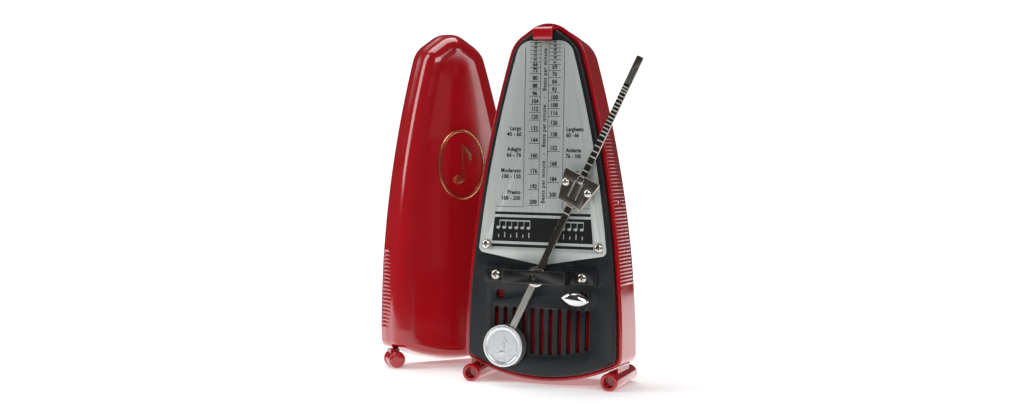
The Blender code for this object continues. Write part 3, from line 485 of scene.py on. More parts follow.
def tinted(tree, shader, where, dark, light, scale, low=0.35, high=0.65):
    """Base colour that wanders between two close tones, over patches of the given size."""
    cloud = add(tree, "ShaderNodeTexNoise", {"Scale": scale, "Detail": 3.0}, {"Vector": where})
    ramp = add(tree, "ShaderNodeValToRGB", (), {"Fac": cloud.outputs["Fac"]})
    ramp.color_ramp.elements[0].position, ramp.color_ramp.elements[0].color = low, linear(dark)
    ramp.color_ramp.elements[1].position, ramp.color_ramp.elements[1].color = high, linear(light)
    tree.links.new(ramp.outputs["Color"], shader.inputs["Base Color"])
    return ramp


def roughened(tree, shader, where, low, high, scale):
    """Roughness that varies from low to high."""
    cloud = add(tree, "ShaderNodeTexNoise", {"Scale": scale, "Detail": 4.0}, {"Vector": where})
    spread = add(tree, "ShaderNodeMapRange",
                 {"From Min": 0.3, "From Max": 0.7, "To Min": low, "To Max": high},
                 {"Value": cloud.outputs["Fac"]})
    tree.links.new(spread.outputs["Result"], shader.inputs["Roughness"])


def bumped(tree, shader, where, scale, strength, depth):
    """Fine surface relief; depth is in millimetres."""
    grain = add(tree, "ShaderNodeTexNoise", {"Scale": scale, "Detail": 2.0}, {"Vector": where})
    bump = add(tree, "ShaderNodeBump", {"Strength": strength, "Distance": depth * MM},
               {"Height": grain.outputs["Fac"]})
    tree.links.new(bump.outputs["Normal"], shader.inputs["Normal"])


def per(size):
    """Noise scale whose features are about size millimetres."""
    return 1.0 / (size * MM)


def red_abs():
    """ABS moulded in a polished steel tool: deep crimson with a wet, sharp gloss and the
    faint long ripple of the melt's flow."""
    mat, tree, shader, where = start_material(
        "polished_crimson_abs", IOR=1.52, Coat_Weight=0.2, Coat_Roughness=0.04)
    tinted(tree, shader, where, "900c13", "9a0e17", per(28))
    roughened(tree, shader, where, 0.1, 0.17, per(9))
    bumped(tree, shader, where, per(9), 0.05, 0.03)
    return mat


def black_abs():
    """ABS moulded in a spark-eroded tool: near black, satin, with a grain of about 0.3 mm,
    drawn at 0.45 mm so that it shows."""
    mat, tree, shader, where = start_material(
        "spark_textured_black_abs", IOR=1.5, Specular_IOR_Level=0.28)
    tinted(tree, shader, where, "141618", "1b1e20", per(14))
    roughened(tree, shader, where, 0.34, 0.42, per(5))
    bumped(tree, shader, where, per(0.45), 0.15, 0.02)
    return mat


def enamelled_steel():
    """Steel strip with stoved black enamel: dark, with an even gloss and a slight orange peel."""
    mat, tree, shader, where = start_material(
        "stoved_black_enamel", IOR=1.5, Specular_IOR_Level=0.4)
    tinted(tree, shader, where, "0d0e0f", "131416", per(6))
    roughened(tree, shader, where, 0.26, 0.31, per(6))
    bumped(tree, shader, where, per(0.8), 0.03, 0.004)
    return mat


def brushed_aluminium():
    """Aluminium sheet brushed up and down: grey silver with long upright hairlines about
    0.15 mm apart, drawn at 0.3 mm so that they show."""
    mat, tree, shader, where = start_material(
        "brushed_aluminium", (1, 40, 90), Metallic=1.0)
    tinted(tree, shader, where, "afb4b1", "bec2bf", per(0.35), 0.3, 0.7)
    roughened(tree, shader, where, 0.5, 0.58, per(0.3))
    bumped(tree, shader, where, per(0.3), 0.08, 0.005)
    return mat


def ink():
    """Screen-printing ink: flat black film with a slightly dry edge."""
    mat, tree, shader, where = start_material(
        "screen_print_ink", IOR=1.45, Specular_IOR_Level=0.25)
    tinted(tree, shader, where, "08090a", "101112", per(1.5))
    roughened(tree, shader, where, 0.45, 0.6, per(1.0))
    return mat


def metal(name, dark, light, low, high, grain, relief_mm=0.004, drawn=(1, 1, 1)):
    """Bare or plated metal whose tone and roughness wander over its grain; a drawn one swings."""
    mat, tree, shader, where = start_material(
        name, drawn, SWING if drawn[2] > 1 else 0.0, Metallic=1.0)
    tinted(tree, shader, where, dark, light, per(grain))
    roughened(tree, shader, where, low, high, per(grain * 0.6))
    bumped(tree, shader, where, per(grain * 0.4), 0.2, relief_mm)
    return mat


RED = red_abs()
BLACK = black_abs()
ENAMEL = enamelled_steel()
SILVER = brushed_aluminium()
INK = ink()
# Nickel-plated steel: warm bright plate over rolled screws, with soft wipe marks.
NICKEL = metal("nickel_plate", "a8a49c", "c2beb6", 0.16, 0.26, 1.6)
# Chrome plate over a polished zinc casting: a near mirror, faintly blue.
CHROME = metal("chrome_plate", "b9b9b8", "c4c4c3", 0.09, 0.14, 8.0, 0.0005)
# Zinc casting, barrelled and satin plated: pale, matt bright, with a 0.3 mm blasted grain.
ZINC = metal("satin_plated_zinc", "bcbebf", "cfd1d2", 0.34, 0.46, 0.6, 0.01)
# Cold-rolled spring steel strip, drawn lengthwise: neutral grey with hairlines along it.
STRIP = metal("drawn_steel_strip", "9a9892", "aeaca6", 0.24, 0.34, 0.5, 0.003, (1, 1, 25))
# The same strip where it is blackened above the pivot: dark and slightly warm.
DARK_STRIP = metal("blackened_steel_strip", "3a3733", "4a4640", 0.28, 0.4, 0.5, 0.003,
                   (1, 1, 25))
# Freshly cut steel edge: pale and matt from the saw.
CUT = metal("cut_steel_edge", "c4c2bb", "d6d4ce", 0.45, 0.6, 0.8)
# Pressed steel, dark nickel plated and brushed along the piece.
DARK_NICKEL = metal("brushed_dark_nickel", "5f5a52", "6b665e", 0.3, 0.4, 0.5, 0.003,
                    (1, 1, 20))
# Turned and rolled clock steel, lightly oiled.
STEEL = metal("turned_clock_steel", "a9abad", "c2c4c6", 0.22, 0.34, 0.8)
# Rolled clock brass, lapped: yellow, with fine random lapping marks.
BRASS = metal("lapped_clock_brass", "ad8a44", "c49c55", 0.22, 0.34, 1.2)
# Mainspring steel tempered blue.
BLUED = metal("blued_spring_steel", "3c4258", "50576e", 0.25, 0.38, 2.0)
# Hot-stamped gold foil over a raised moulding: pinkish gold mirror with small pits.
FOIL = metal("stamped_gold_foil", "cf9f6c", "e6bd8d", 0.12, 0.24, 0.8, 0.01)


# ---------------------------------------------------------------- case
def case_ring(cut, depth=None, back=None, rib=0.0):
    drop = 0.0 if back is None else REAR_DROP
    return [(x, depth if back is None else rear(back, z), z)
            for x, z in case_outline(cut, drop, rib)]


def make_case():
    """Moulded shell, open at the front, with grip ribs down both sides."""
    inner, floor, edge = REAR_RADIUS - WALL + 0.3, DEPTH - WALL, REAR_RADIUS
    rings = []
    for i in range(5):
        a = math.pi / 2 * (1 - i / 4)
        rings.append(case_ring(WALL + inner * (1 - math.cos(a)), back=floor - inner * (1 - math.sin(a))))
    rings += [case_ring(WALL, LEDGE), case_ring(LIP, LEDGE), case_ring(LIP, RIM_BACK + 0.15),
              case_ring(LIP - 0.15, RIM_BACK)]
    rings += [case_ring(0.5 * (1 - math.sin(a)), RIM_BACK + 0.5 * (1 - math.cos(a)))
              for a in (0.0, 0.4, 0.8, 1.2, math.pi / 2)]
    rings += [case_ring(0.02, 3.0), case_ring(0.02, 3.4, rib=GRIP_PROUD)]
    rings += [case_ring(0.08, back=DEPTH - edge - 1.4, rib=GRIP_PROUD),
              case_ring(0.09, back=DEPTH - edge - 1.0)]
    for i in range(9):
        a = math.pi / 2 * i / 8
        rings.append(case_ring(0.1 + edge * (1 - math.cos(a)), back=DEPTH - edge * (1 - math.sin(a))))
    shell = loft("case_shell", rings)
    cutters = []
    for side in (-1, 1):
        x = side * flank(SIDE_PIN[1])
        dish = turned("dish", [(-4, 0), (-4, 1.4), (0.0, 1.4), (1.2, 1.9), (4, 1.9), (4, 0)], 32)
        dish.data.transform(shift(x, *SIDE_PIN) @ turn(-90 * side, "Z"))
        cutters.append(dish)
    for x, z in BACK_SCREWS:
        y = rear(DEPTH, z)
        cutters.append(turned("sink", [(y - 4, 0), (y - 4, 1.3), (y - 1.1, 1.3), (y - 1.1, 2.5),
                                       (y + 4, 2.7), (y + 4, 0)], 32, (x, z)))
    combined(shell, [merged(cutters)])
    place(shell, FACE, "case", RED, ["rear_housing"], 50)


def make_hook():
    """Curved tongue over the peak that holds the rod's tip."""
    top = HEIGHT - 1.9
    spine = [(LEDGE + 0.8, top - 0.1), (-1.6, top)]
    spine += fillet((-1.6, top), (-4.6, top), (-4.6, top - 5.0), 2.4, 8)
    spine += [(-4.6, top - 4.6), (-3.9, top - 5.9), (-3.1, top - 5.6)]
    spine += fillet((-3.1, top - 5.6), (-3.1, top - 1.6), (0, top - 1.6), 1.0, 6)
    spine += [(LEDGE + 0.8, top - 1.6)]
    hook = softened(bar("storage_hook", spine, -HOOK_HALF, HOOK_HALF), 0.66, 5, 50)
    place(hook, FACE, "case", RED)


def make_post():
    """Round post moulded on the case's back, seen through a hole in the plate."""
    foot = rear(DEPTH - 1.0, POST_AT[1])
    y = PLATE_THICK + GAP
    post = turned("moulded_post", [(y, 0), (y, POST_RADIUS - 0.3), (y + 0.3, POST_RADIUS),
                                   (foot, POST_RADIUS), (foot, 0)], 40, POST_AT)
    place(post, FACE, "case", RED)


def make_plate():
    """Black front plate with the grille, the bearing hole and pads for the bridge's ears."""
    levels = ((PLATE_INSET, PLATE_THICK), (PLATE_INSET, 0.9), (PLATE_INSET + 0.12, 0.52),
              (PLATE_INSET + 0.35, 0.2), (PLATE_INSET + 0.65, 0.05), (PLATE_INSET + 1.0, 0.0))
    plate = loft("front_panel", [[(x, y, z) for x, z in case_outline(cut)] for cut, y in levels])
    pads = []
    for side in (-1, 1):
        middle = side * (BRIDGE_HALF + BRIDGE_EAR) / 2
        half = (BRIDGE_EAR - BRIDGE_HALF) / 2 + 0.9
        outline = rounded(rectangle(middle - half, middle + half, PIVOT_Z - 3.9, PIVOT_Z + 3.9), 1.0)
        pads.append(prism("pad", outline, -BRIDGE_PAD, 0.6))
    combined(plate, [merged(pads)], "UNION")
    half = (SLOT_COUNT - 1) / 2 * SLOT_PITCH + 2.6
    field = [(x, slot_low(x) - 1.4) for x in (-half + 2 * half * i / 24 for i in range(25))]
    field += [(half, SLOT_TOP + 1.3), (-half, SLOT_TOP + 1.3)]
    combined(plate, [prism("field", field, -2.0, 0.5)])
    cutters = []
    for i in range(SLOT_COUNT):
        x = (i - (SLOT_COUNT - 1) / 2) * SLOT_PITCH
        cutters.append(prism("slot", slot(x, slot_low(x), SLOT_TOP, SLOT_WIDTH), *THROUGH))
    near, far = THROUGH
    holes = [(POST_AT, POST_HOLE, near), (KEY_AT, 2.6, 0.4), ((0, PIVOT_Z), 2.6, near)]
    for side in (-1, 1):
        holes += [((side * DIAL_SCREW[0], DIAL_SCREW[1]), 1.3, near),
                  ((side * BRIDGE_SCREW, PIVOT_Z), 1.4, near)]
    cutters += [prism("hole", circle(r, 40, at), y, far) for at, r, y in holes]
    wide = HOOK_HALF + GAP
    cutters.append(prism("notch", rectangle(-wide, wide, HEIGHT - 3.8, HEIGHT + 3), *THROUGH))
    combined(plate, [merged(cutters)])
    dish = [(-3, 0), (-3, 8.6), (0.0, 8.4), (0.55, 8.1), (0.8, 7.5), (0.8, 0)]
    combined(plate, [turned("dish", dish, 72, KEY_AT)])
    softened(plate, 0.16, 2, 40)
    place(plate, FACE, "case", BLACK, ["front_plate"])


def dial_outline():
    """Sides that follow the flanks, a round top and a foot that dips to the middle."""
    low, high = 72.0, DIAL_TOP - 10
    half = [(0.0, DIAL_LOW)]
    corner = (flank(DIAL_CORNER[1], DIAL_INSET), DIAL_CORNER[1] + 0.4)
    half += fillet(half[0], corner, (flank(low, DIAL_INSET), low), 2.5, 8)
    for i in range(13):
        z = low + (high - low) * i / 12
        half.append((flank(z, DIAL_INSET), z))
    half += fillet(half[-1], (flank(DIAL_TOP, DIAL_INSET), DIAL_TOP), (0, DIAL_TOP), 7.0, 10)
    return mirrored(half)


def make_dial():
    """Thin brushed plate with its two screw holes."""
    dial = prism("scale_plate", dial_outline(), DIAL_BACK - DIAL_THICK, DIAL_BACK)
    holes = [prism("hole", circle(1.3, 32, (s * DIAL_SCREW[0], DIAL_SCREW[1])), -3, 3) for s in (-1, 1)]
    combined(dial, [merged(holes)])
    softened(dial, 0.1, 2, 50)
    place(dial, FACE, "case", SILVER, ["dial_plate"])


# ---------------------------------------------------------------- print
def lettering(text, x, z, size, align="CENTER", angle=0.0, narrow=1.0, spacing=1.0, weight=0.012):
    """One line of plain sans lettering as a thin raised mesh, z at its middle height."""
    curve = bpy.data.curves.new("line", "FONT")
    curve.body, curve.align_x, curve.align_y = text, align, "CENTER"
    curve.size, curve.extrude, curve.offset = 1.0, 0.02, weight
    curve.space_character, curve.resolution_u = spacing, 3
    obj = bpy.data.objects.new("line", curve)
    bpy.context.scene.collection.objects.link(obj)
    bpy.context.view_layer.update()
    graph = bpy.context.evaluated_depsgraph_get()
    mesh = bpy.data.meshes.new_from_object(obj.evaluated_get(graph))
    bpy.data.objects.remove(obj)
    depth = (INK_BACK - INK_FRONT) / 0.04
    half = (INK_BACK + INK_FRONT) / 2
    where = (Matrix.Translation((x * MM, half * MM, z * MM)) @ turn(angle, "Y") @ turn(90, "X")
             @ Matrix.Diagonal((size * narrow * MM, size * MM, depth * MM, 1)))
    mesh.transform(where)
    return mesh


def stroke(x0, x1, z0, z1):
    """A printed bar."""
    return loose(prism("stroke", rectangle(x0, x1, z0, z1), INK_FRONT, INK_BACK))


def tempi():
    marks = list(range(40, 60, 2)) + list(range(60, 72, 3)) + list(range(72, 120, 4))
    return marks + list(range(120, 144, 6)) + list(range(144, 209, 8))


def mark_height(beat):
    return SCALE_ZERO - SCALE_STEP * beat


def make_scale():
    """Tempo scale: beats a minute down both columns, with the usual tempo words beside them."""
    art = []
    for i, beat in enumerate(tempi()):
        z = mark_height(beat)
        x0, x1 = (-7.1, -1.8) if i % 2 == 0 else (2.0, 7.6)
        art.append(stroke(x0, x1, z - 0.11, z + 0.11))
        small = beat < 66
        size = 1.6 if small else 2.6
        x = -4.5 if i % 2 == 0 else 4.7
        art.append(lettering(str(beat), x, z + size * 0.36 + 0.45, size, narrow=0.88, weight=0.034))
    for x, low in ((-1.9, 79.9), (1.9, 83.1)):
        art.append(stroke(x - 0.1, x + 0.1, low, 150.4))
    for side in (-1, 1):
        x = side * 9.2
        art.append(stroke(x - 0.1, x + 0.1, 78.9, 149.0))
    art.append(stroke(-22.5, -9.1, 78.8, 79.0))
    art.append(stroke(9.1, 22.5, 78.8, 79.0))
    words = (("Largo", "40 - 60", 113.6), ("Adagio", "66 - 76", 104.4),
             ("Moderato", "108 - 120", 94.9), ("Presto", "168 - 200", 85.3))
    for word, span, z in words:
        for text, height in ((word, z), (span, z - 2.6)):
            art.append(lettering(text, -10.6, height, 2.5, "RIGHT", 0, 0.88, 1.08, 0.034))
    words = (("Larghetto", "60 - 66", 113.4), ("Andante", "76 - 108", 104.2),
             ("Allegro", "120 - 168", 94.7))
    for word, span, z in words:
        for text, height in ((word, z), (span, z - 2.6)):
            art.append(lettering(text, 10.6, height, 2.5, "LEFT", 0, 0.82, 1.0, 0.034))
    line = "Beats per minute   -   Beats per minute   -   Beats per minute"
    art.append(lettering(line, 0.15, 114.8, 2.5, "CENTER", -90, 0.92, 1.16, 0.022))
    art.append(stroke(-22.6, 22.6, 75.4, 76.6))
    art.append(stroke(-24.1, 24.1, 61.0, 62.3))
    band = [(-23.9, 63.5), (23.9, 63.5), (22.8, 74.2), (-22.8, 74.2)]
    art.append(loose(prism("band", band, INK_FRONT, INK_BACK)))
    place(joined("scale_print", art), FACE, "case", INK)


def make_band_marks():
    """Bare-metal rhythm marks left open in the black band: notes above, beat ticks below."""
    art = []
    for group, count in ((-21.0, 6), (7.0, 5)):
        for i in range(count):
            x = group + i * 2.9
            head = [(x + 0.85 * math.cos(t) - 0.25 * math.sin(t), 69.6 + 0.62 * math.sin(t)
                     + 0.2 * math.cos(t)) for t in (2 * math.pi * k / 20 for k in range(20))]
            art.append(loose(prism("note", head, INK_FRONT - 0.02, INK_FRONT + 0.01)))
            art.append(stroke(x + 0.62, x + 0.86, 69.7, 72.9))
            art.append(stroke(x + 0.1, x + 0.5, 65.2, 67.5 if i % 2 else 66.6))
        art.append(stroke(group + 0.62, group + (count - 1) * 2.9 + 0.86, 72.4, 73.0))
    for mesh in art:
        mesh.transform(Matrix.Translation((0, -0.015 * MM, 0)))
    place(joined("band_marks", art), FACE, "case", SILVER)


# ---------------------------------------------------------------- screws
def cross(size, at, front, depth):
    """Tapered cross-shaped driver recess."""
    arms = []
    for angle in (0, 90):
        ring = []
        for s, y in ((1.0, front - 0.5), (1.0, front), (0.45, front + depth)):
            a, b = size * s, size * 0.24 * (0.4 + 0.6 * s)
            corners = [(-a, -b), (a, -b), (a, b), (-a, b)]
            spin = Matrix.Rotation(math.radians(angle + 20), 2)
            points = [spin @ Vector(c) for c in corners]
            ring.append([(at[0] + p.x, y, at[1] + p.y) for p in points])
        arms.append(loft("arm", ring))
    return arms


def make_screw(name, at, top, radius, where, stands_for, shank=1.0):
    """Pan-head screw with a domed head and a cross recess."""
    dome = []
    for i in range(7):
        a = math.pi / 2 * i / 6
        dome.append((top - 1.25 + 1.0 * (1 - math.cos(a)), radius * math.sin(a) if i else 0))
    tail = 4.0
    profile = dome + [(top, radius - 0.05), (top, shank), (tail, shank), (tail, 0)]
    screw = turned(name, profile, 48, at)
    combined(screw, cross(radius * 0.55, at, top - 1.25, 0.8))
    place(screw, where, "case", NICKEL, stands_for, 40)


def make_screws():
    dial_top = DIAL_BACK - DIAL_THICK - 0.1
    strap_top = -BRIDGE_PAD - 0.15 - BRIDGE_THICK - 0.1
    for s, name in ((-1, "left"), (1, "right")):
        make_screw(f"scale_screw_{name}", (s * DIAL_SCREW[0], DIAL_SCREW[1]), dial_top, 2.05,
                   FACE, [f"dial_screw_{name}"])
        make_screw(f"strap_screw_{name}", (s * BRIDGE_SCREW, PIVOT_Z), strap_top, 2.15,
                   FACE, [f"bridge_screw_{name}"], 1.1)
    for i, (x, z) in enumerate(BACK_SCREWS):
        y = rear(DEPTH, z) - 0.8
        profile = [(y - 6.2, 0), (y - 6.2, 0.95), (y, 0.95), (y, 2.1), (y + 0.3, 2.1),
                   (y + 0.5, 1.95), (y + 0.66, 1.5), (y + 0.7, 0.9), (y + 0.7, 0)]
        screw = turned(f"housing_screw_{i + 1}", profile, 40, (x, z))
        arms = cross(1.2, (x, z), 0.0, 0.8)
        for arm in arms:
            arm.data.transform(shift(0, y + 0.7, 0) @ Matrix.Diagonal((1, -1, 1, 1)))
            arm.data.flip_normals()
        combined(screw, arms)
        place(screw, FACE, "case", NICKEL, [f"back_screw_{i + 1}"], 40)


# ---------------------------------------------------------------- bridge
def make_bridge():
    """Steel strip bent to a flat-topped bow, enamelled black, over the pendulum's pivot."""
    foot, out, thick = -BRIDGE_PAD - 0.15, -BRIDGE_OUT, BRIDGE_THICK
    half, ear = BRIDGE_HALF, BRIDGE_EAR
    low, high = PIVOT_Z - BRIDGE_HEIGHT / 2, PIVOT_Z + BRIDGE_HEIGHT / 2

    def line(side, inner):
        """Half of one side of the strip, ear to middle, with rounded bends."""
        shift_in = thick if inner else 0.0
        y_ear = foot if inner else foot - thick
        y_top = out + shift_in
        x_foot = half - 0.25 * shift_in
        x_top = half - 0.35 - 0.9 * shift_in
        points = [(ear, y_ear)]
        bend = 0.35 if inner else 0.2
        points += fillet((ear, y_ear), (x_foot, y_ear), (x_top, y_top), bend, 4)
        points += fillet((x_foot, y_ear), (x_top, y_top), (0, y_top), 0.45 if inner else 1.1, 6)
        return points if side > 0 else [(-x, y) for x, y in reversed(points)]

    outline = line(1, True) + line(-1, True) + line(-1, False)[::-1] + line(1, False)[::-1]
    strap = loft("bridge_strip", [[(x, y, z) for x, y in outline] for z in (low, high)])
    cutters = [prism("hole", circle(1.35, 40, (0, PIVOT_Z)), out - 1, out + 3)]
    for side in (-1, 1):
        cutters.append(prism("hole", circle(1.4, 32, (side * BRIDGE_SCREW, PIVOT_Z)), foot - 3, foot + 1))
    combined(strap, [merged(cutters)])
    softened(strap, 0.22, 3, 50)
    place(strap, FACE, "case", ENAMEL, ["bridge_strap"])


# ---------------------------------------------------------------- pendulum
def make_rod():
    """Flat strip with a bright notch for each mark of the scale, hatched below its tip."""
    front, back = -ROD_FRONT, -ROD_FRONT + ROD_THICK
    low, half = -WEIGHT_ARM + 1.0, ROD_WIDTH / 2
    profile = [(back, low), (back, KNURL[0]), (front, KNURL[0])]
    for r in sorted((mark_height(b) - PIVOT_Z for b in tempi()), reverse=True):
        if r < KNURL[0] - 0.6:
            profile += [(front, r + 0.25), (front + 0.1, r + 0.14), (front + 0.1, r - 0.14),
                        (front, r - 0.25)]
    profile += [(front, 0.0), (front, low)]
    rod = bar("swing_rod", profile, -half, half)
    combined(rod, [prism("hole", circle(1.3, 32), -9, 0)])
    softened(rod, 0.05, 1, 75)
    for mat in (DARK_STRIP, STRIP, CUT):
        rod.data.materials.append(mat)
    for face in rod.data.polygons:
        middle, normal = face.center / MM, face.normal
        plain_front = normal.y < -0.97 and middle.y < front + 0.04 and middle.z > 3.0
        notched = middle.z > 3.0 and abs(middle.x) < 0.9 * half
        face.material_index = 0 if plain_front else 2 if notched else 1
    place(rod, PIVOT, "pendulum", None, ["pendulum_rod"], 30)

    def hatch(x, z):
        a = abs(((x + z) / 0.55) % 1.0 - 0.5) + abs(((x - z) / 0.55) % 1.0 - 0.5)
        return -0.08 * min(1.0, a * 1.3)

    knurl = relief("rod_hatching", -half, half, KNURL[0], KNURL[1], 22, 58, hatch, front, back)
    place(knurl, PIVOT, "pendulum", STRIP, (), 20)
    outline = [(-half, KNURL[1]), (half, KNURL[1])]
    outline += fillet((half, KNURL[1]), (half, ROD_LENGTH), (-half, ROD_LENGTH), 0.5, 4)
    outline += fillet((half, ROD_LENGTH), (-half, ROD_LENGTH), (-half, KNURL[1]), 0.5, 4)
    tip = softened(prism("rod_tip", outline, front, back), 0.1, 2, 50)
    place(tip, PIVOT, "pendulum", DARK_NICKEL)


def note_outline(x, z, size):
    """Head, stem and flag of an eighth note as separate outlines."""
    turns = [2 * math.pi * i / 40 for i in range(40)]
    head = [(x + size * (-1.7 + 3 * math.cos(t) - 0.6 * math.sin(t)),
             z + size * (-7 + 0.9 * math.cos(t) + 2 * math.sin(t))) for t in turns]
    stem = [(x + size * a, z + size * b) for a, b in rectangle(0.2, 1.3, -7.0, 9.5)]
    flag = [(0.6, 9.4), (0.6, 6.0), (2.6, 4.6), (4.2, 2.6), (4.5, 0.4), (5.4, 2.6), (5.0, 5.0),
            (3.2, 7.0), (1.7, 8.4)]
    return head, stem, [(x + size * a, z + size * b) for a, b in flag]


def make_note(name, x, z, size, y0, y1):
    head, stem, flag = note_outline(x, z, size)
    note = prism(name, head, y0, y1)
    return combined(note, [prism("stem", stem, y0, y1), prism("flag", flag, y0, y1)], "UNION")


def make_weight():
    """Cast disc with a raised rim, a fine ring inside it and a struck eighth note."""
    r, front = WEIGHT_RADIUS, -WEIGHT_FRONT
    back = front + WEIGHT_THICK
    profile = [(back, 0), (back, r - 0.7), (back - 0.2, r - 0.25), (back - 0.6, r)]
    profile += [(front + 0.6, r), (front + 0.25, r - 0.1), (front + 0.06, r - 0.35), (front, r - 0.6),
                (front, r - 1.25), (front + 0.06, r - 1.45), (front + 0.35, r - 1.75),
                (front + 0.45, r - 2.0), (front + 0.45, r - 2.35), (front + 0.32, r - 2.45),
                (front + 0.32, r - 2.6), (front + 0.45, r - 2.7), (front + 0.45, 0)]
    disc = turned("weight_disc", profile, 96, (0, -WEIGHT_ARM))
    y0, y1 = -ROD_FRONT - GAP, -ROD_FRONT + ROD_THICK + GAP
    outline = rectangle(-ROD_WIDTH / 2 - GAP, ROD_WIDTH / 2 + GAP, -WEIGHT_ARM + 0.6, 0)
    combined(disc, [prism("slot", outline, y0, y1)])
    place(disc, PIVOT, "pendulum", ZINC, ["counterweight"], 40)
    mark = make_note("weight_mark", 0.2, 0, 0.42, front + 0.22, front + 0.5)
    softened(mark, 0.07, 2, 50)
    # The mark stands upright when the rod is held in its hook, so it turns with the rod.
    place(mark, PIVOT @ shift(0, 0, -WEIGHT_ARM) @ turn(-SWING, "Y"), "pendulum", ZINC)


def make_hub():
    front = -ROD_FRONT - 0.15
    hub = washer("rod_hub", [(1.3, front), (4.5, front), (4.5, front - 0.5), (4.4, front - 0.72),
                             (4.2, front - 0.8), (3.4, front - 0.8), (3.2, front - 0.6),
                             (2.0, front - 0.6), (1.8, front - 0.8), (1.3, front - 0.8)])
    place(hub, PIVOT, "pendulum", NICKEL, ["pendulum_hub"])


def make_slider():
    """Pressed sliding weight: tapered plate with a raised channel, two slits and two rivets."""
    top, low, high = SLIDER_TOP / 2, SLIDER_LOW / 2, SLIDER_HEIGHT / 2
    outline = rounded([(-low, -high), (low, -high), (top, high), (-top, high)], 0.8, 5)
    front = -ROD_FRONT - GAP
    plate = prism("sliding_weight", outline, front - 1.6, front)
    cutters = [prism("hole", circle(1.15, 32, (s * SLIDER_RIVET, 1.2)), -12, 0) for s in (-1, 1)]
    for s in (-1, 1):
        cutters.append(prism("slit", slot(s * 1.9, -high + 3.0, high - 3.4, 0.36, 4), -12, front - 1.1))
    combined(plate, [merged(cutters)])
    softened(plate, 0.2, 2, 50)
    bare_edges(plate, DARK_NICKEL, CUT)
    place(plate, SLIDE, "slider", None, ["slider_plate"])
    tab = [(-1.5, high - 3.6), (1.5, high - 3.6)]
    tab += fillet((1.5, high - 3.6), (1.5, high - 0.3), (-1.5, high - 0.3), 1.3, 8)
    tab += fillet((1.5, high - 0.3), (-1.5, high - 0.3), (-1.5, high - 3.6), 1.3, 8)
    boss = softened(prism("slider_tab", tab, front - 1.82, front - 1.5), 0.14, 3, 50)
    place(boss, SLIDE, "slider", NICKEL)
    back = -ROD_FRONT + ROD_THICK + 0.7
    head = front - 1.7
    profile = [(head - 0.72, 0), (head - 0.72, 0.35), (head - 0.98, 0.55), (head - 0.92, 0.9),
               (head - 0.75, 1.25), (head - 0.45, 1.6), (head - 0.15, 1.77), (head, 1.8),
               (head, 0.85), (back + 1.5, 0.85), (back + 1.5, 0)]
    for s, name in ((-1, "left"), (1, "right")):
        rivet = turned(f"weight_rivet_{name}", profile, 48, (s * SLIDER_RIVET, 1.2))
        place(rivet, SLIDE, "slider", NICKEL, [f"slider_rivet_{name}"], 40)


# ---------------------------------------------------------------- winding key
def make_key():
    """Chrome winding knob: a pointed oval, domed on its face and waisted behind."""
    a, b = KEY_LENGTH / 2, KEY_HEIGHT / 2
    radius = (a * a + b * b) / (2 * b)
    span = math.asin(a / radius)
    outline = []
    for sign in (1, -1):
        for i in range(32):
            t = -span + 2 * span * i / 32
            outline.append((sign * radius * math.sin(t), sign * (radius * math.cos(t) - radius + b)))
    tilt = Matrix.Rotation(math.radians(-KEY_TILT), 2)
    outline = [tuple(tilt @ Vector(p)) for p in outline[::-1]]
    out = KEY_OUT
    levels = [(0.45, -1.9), (0.46, 6.4 - out), (0.52, 5.7 - out), (0.7, 4.8 - out),
              (0.88, 4.1 - out), (0.97, 3.4 - out)]
    levels += [(math.cos(t), 2.6 - out - 2.6 * math.sin(t))
               for t in (math.pi / 2 * i / 12 for i in range(12))]
    levels.append((0.04, -KEY_OUT))
    rings = [[(x * s, y, z * s) for x, z in outline] for s, y in levels]
    knob = loft("winding_knob", rings)
    place(knob, KEY, "key", CHROME, ["winding_key"], 60)


# ---------------------------------------------------------------- feet
def make_feet():
    """Tube feet with open ring ends, a collar behind the front ring and a web to the case."""
    f, b, s, r, bore = FOOT_FRONT, FOOT_BACK, FOOT_SOCKET, FOOT_CENTRE - 0.01, FOOT_BORE
    profile = [(f + s, 0), (f + s, bore - 0.1), (f + s - 0.3, bore), (f + 0.25, bore), (f, bore + 0.25),
               (f, r - 0.3), (f + 0.1, r - 0.1), (f + 0.35, r), (f + 2.3, r), (f + 2.5, r - 0.25),
               (b - 0.5, r - 0.25), (b - 0.2, r - 0.35), (b, r - 0.6), (b, bore + 0.2),
               (b - 0.2, bore), (b - s, bore), (b - s, 0)]
    seat = loft("seat", [[(x, y, z) for x, z in case_outline(-GAP)] for y in (RIM_BACK - GAP, 60)])
    seat.data.transform(turn(-LEAN, "X"))
    stand_feet(profile, "tube_foot", "foot", FLOOR, "case", (RIM_BACK + 2, DEPTH - 7), 12.0, seat)


def stand_feet(profile, name, node, where, body, web, top, seat):
    """A pair of turned feet, each with a web up to the underside of what it carries."""
    for side, word in ((-1, "left"), (1, "right")):
        x = side * FOOT_X
        foot = turned(f"{name}_{word}", profile, 64, (x, FOOT_CENTRE))
        y0, y1 = web
        low = FOOT_CENTRE + 2
        block = bar("web", [(y0, low), (y1, low), (y1, top), (y0, top)], x - FOOT_WEB, x + FOOT_WEB)
        combined(foot, [block], "UNION")
        spare = seat.copy()
        spare.data = seat.data.copy()
        bpy.context.scene.collection.objects.link(spare)
        combined(foot, [spare])
        place(foot, where, body, RED, [f"{node}_{word}"], 40)
    bpy.data.objects.remove(seat)


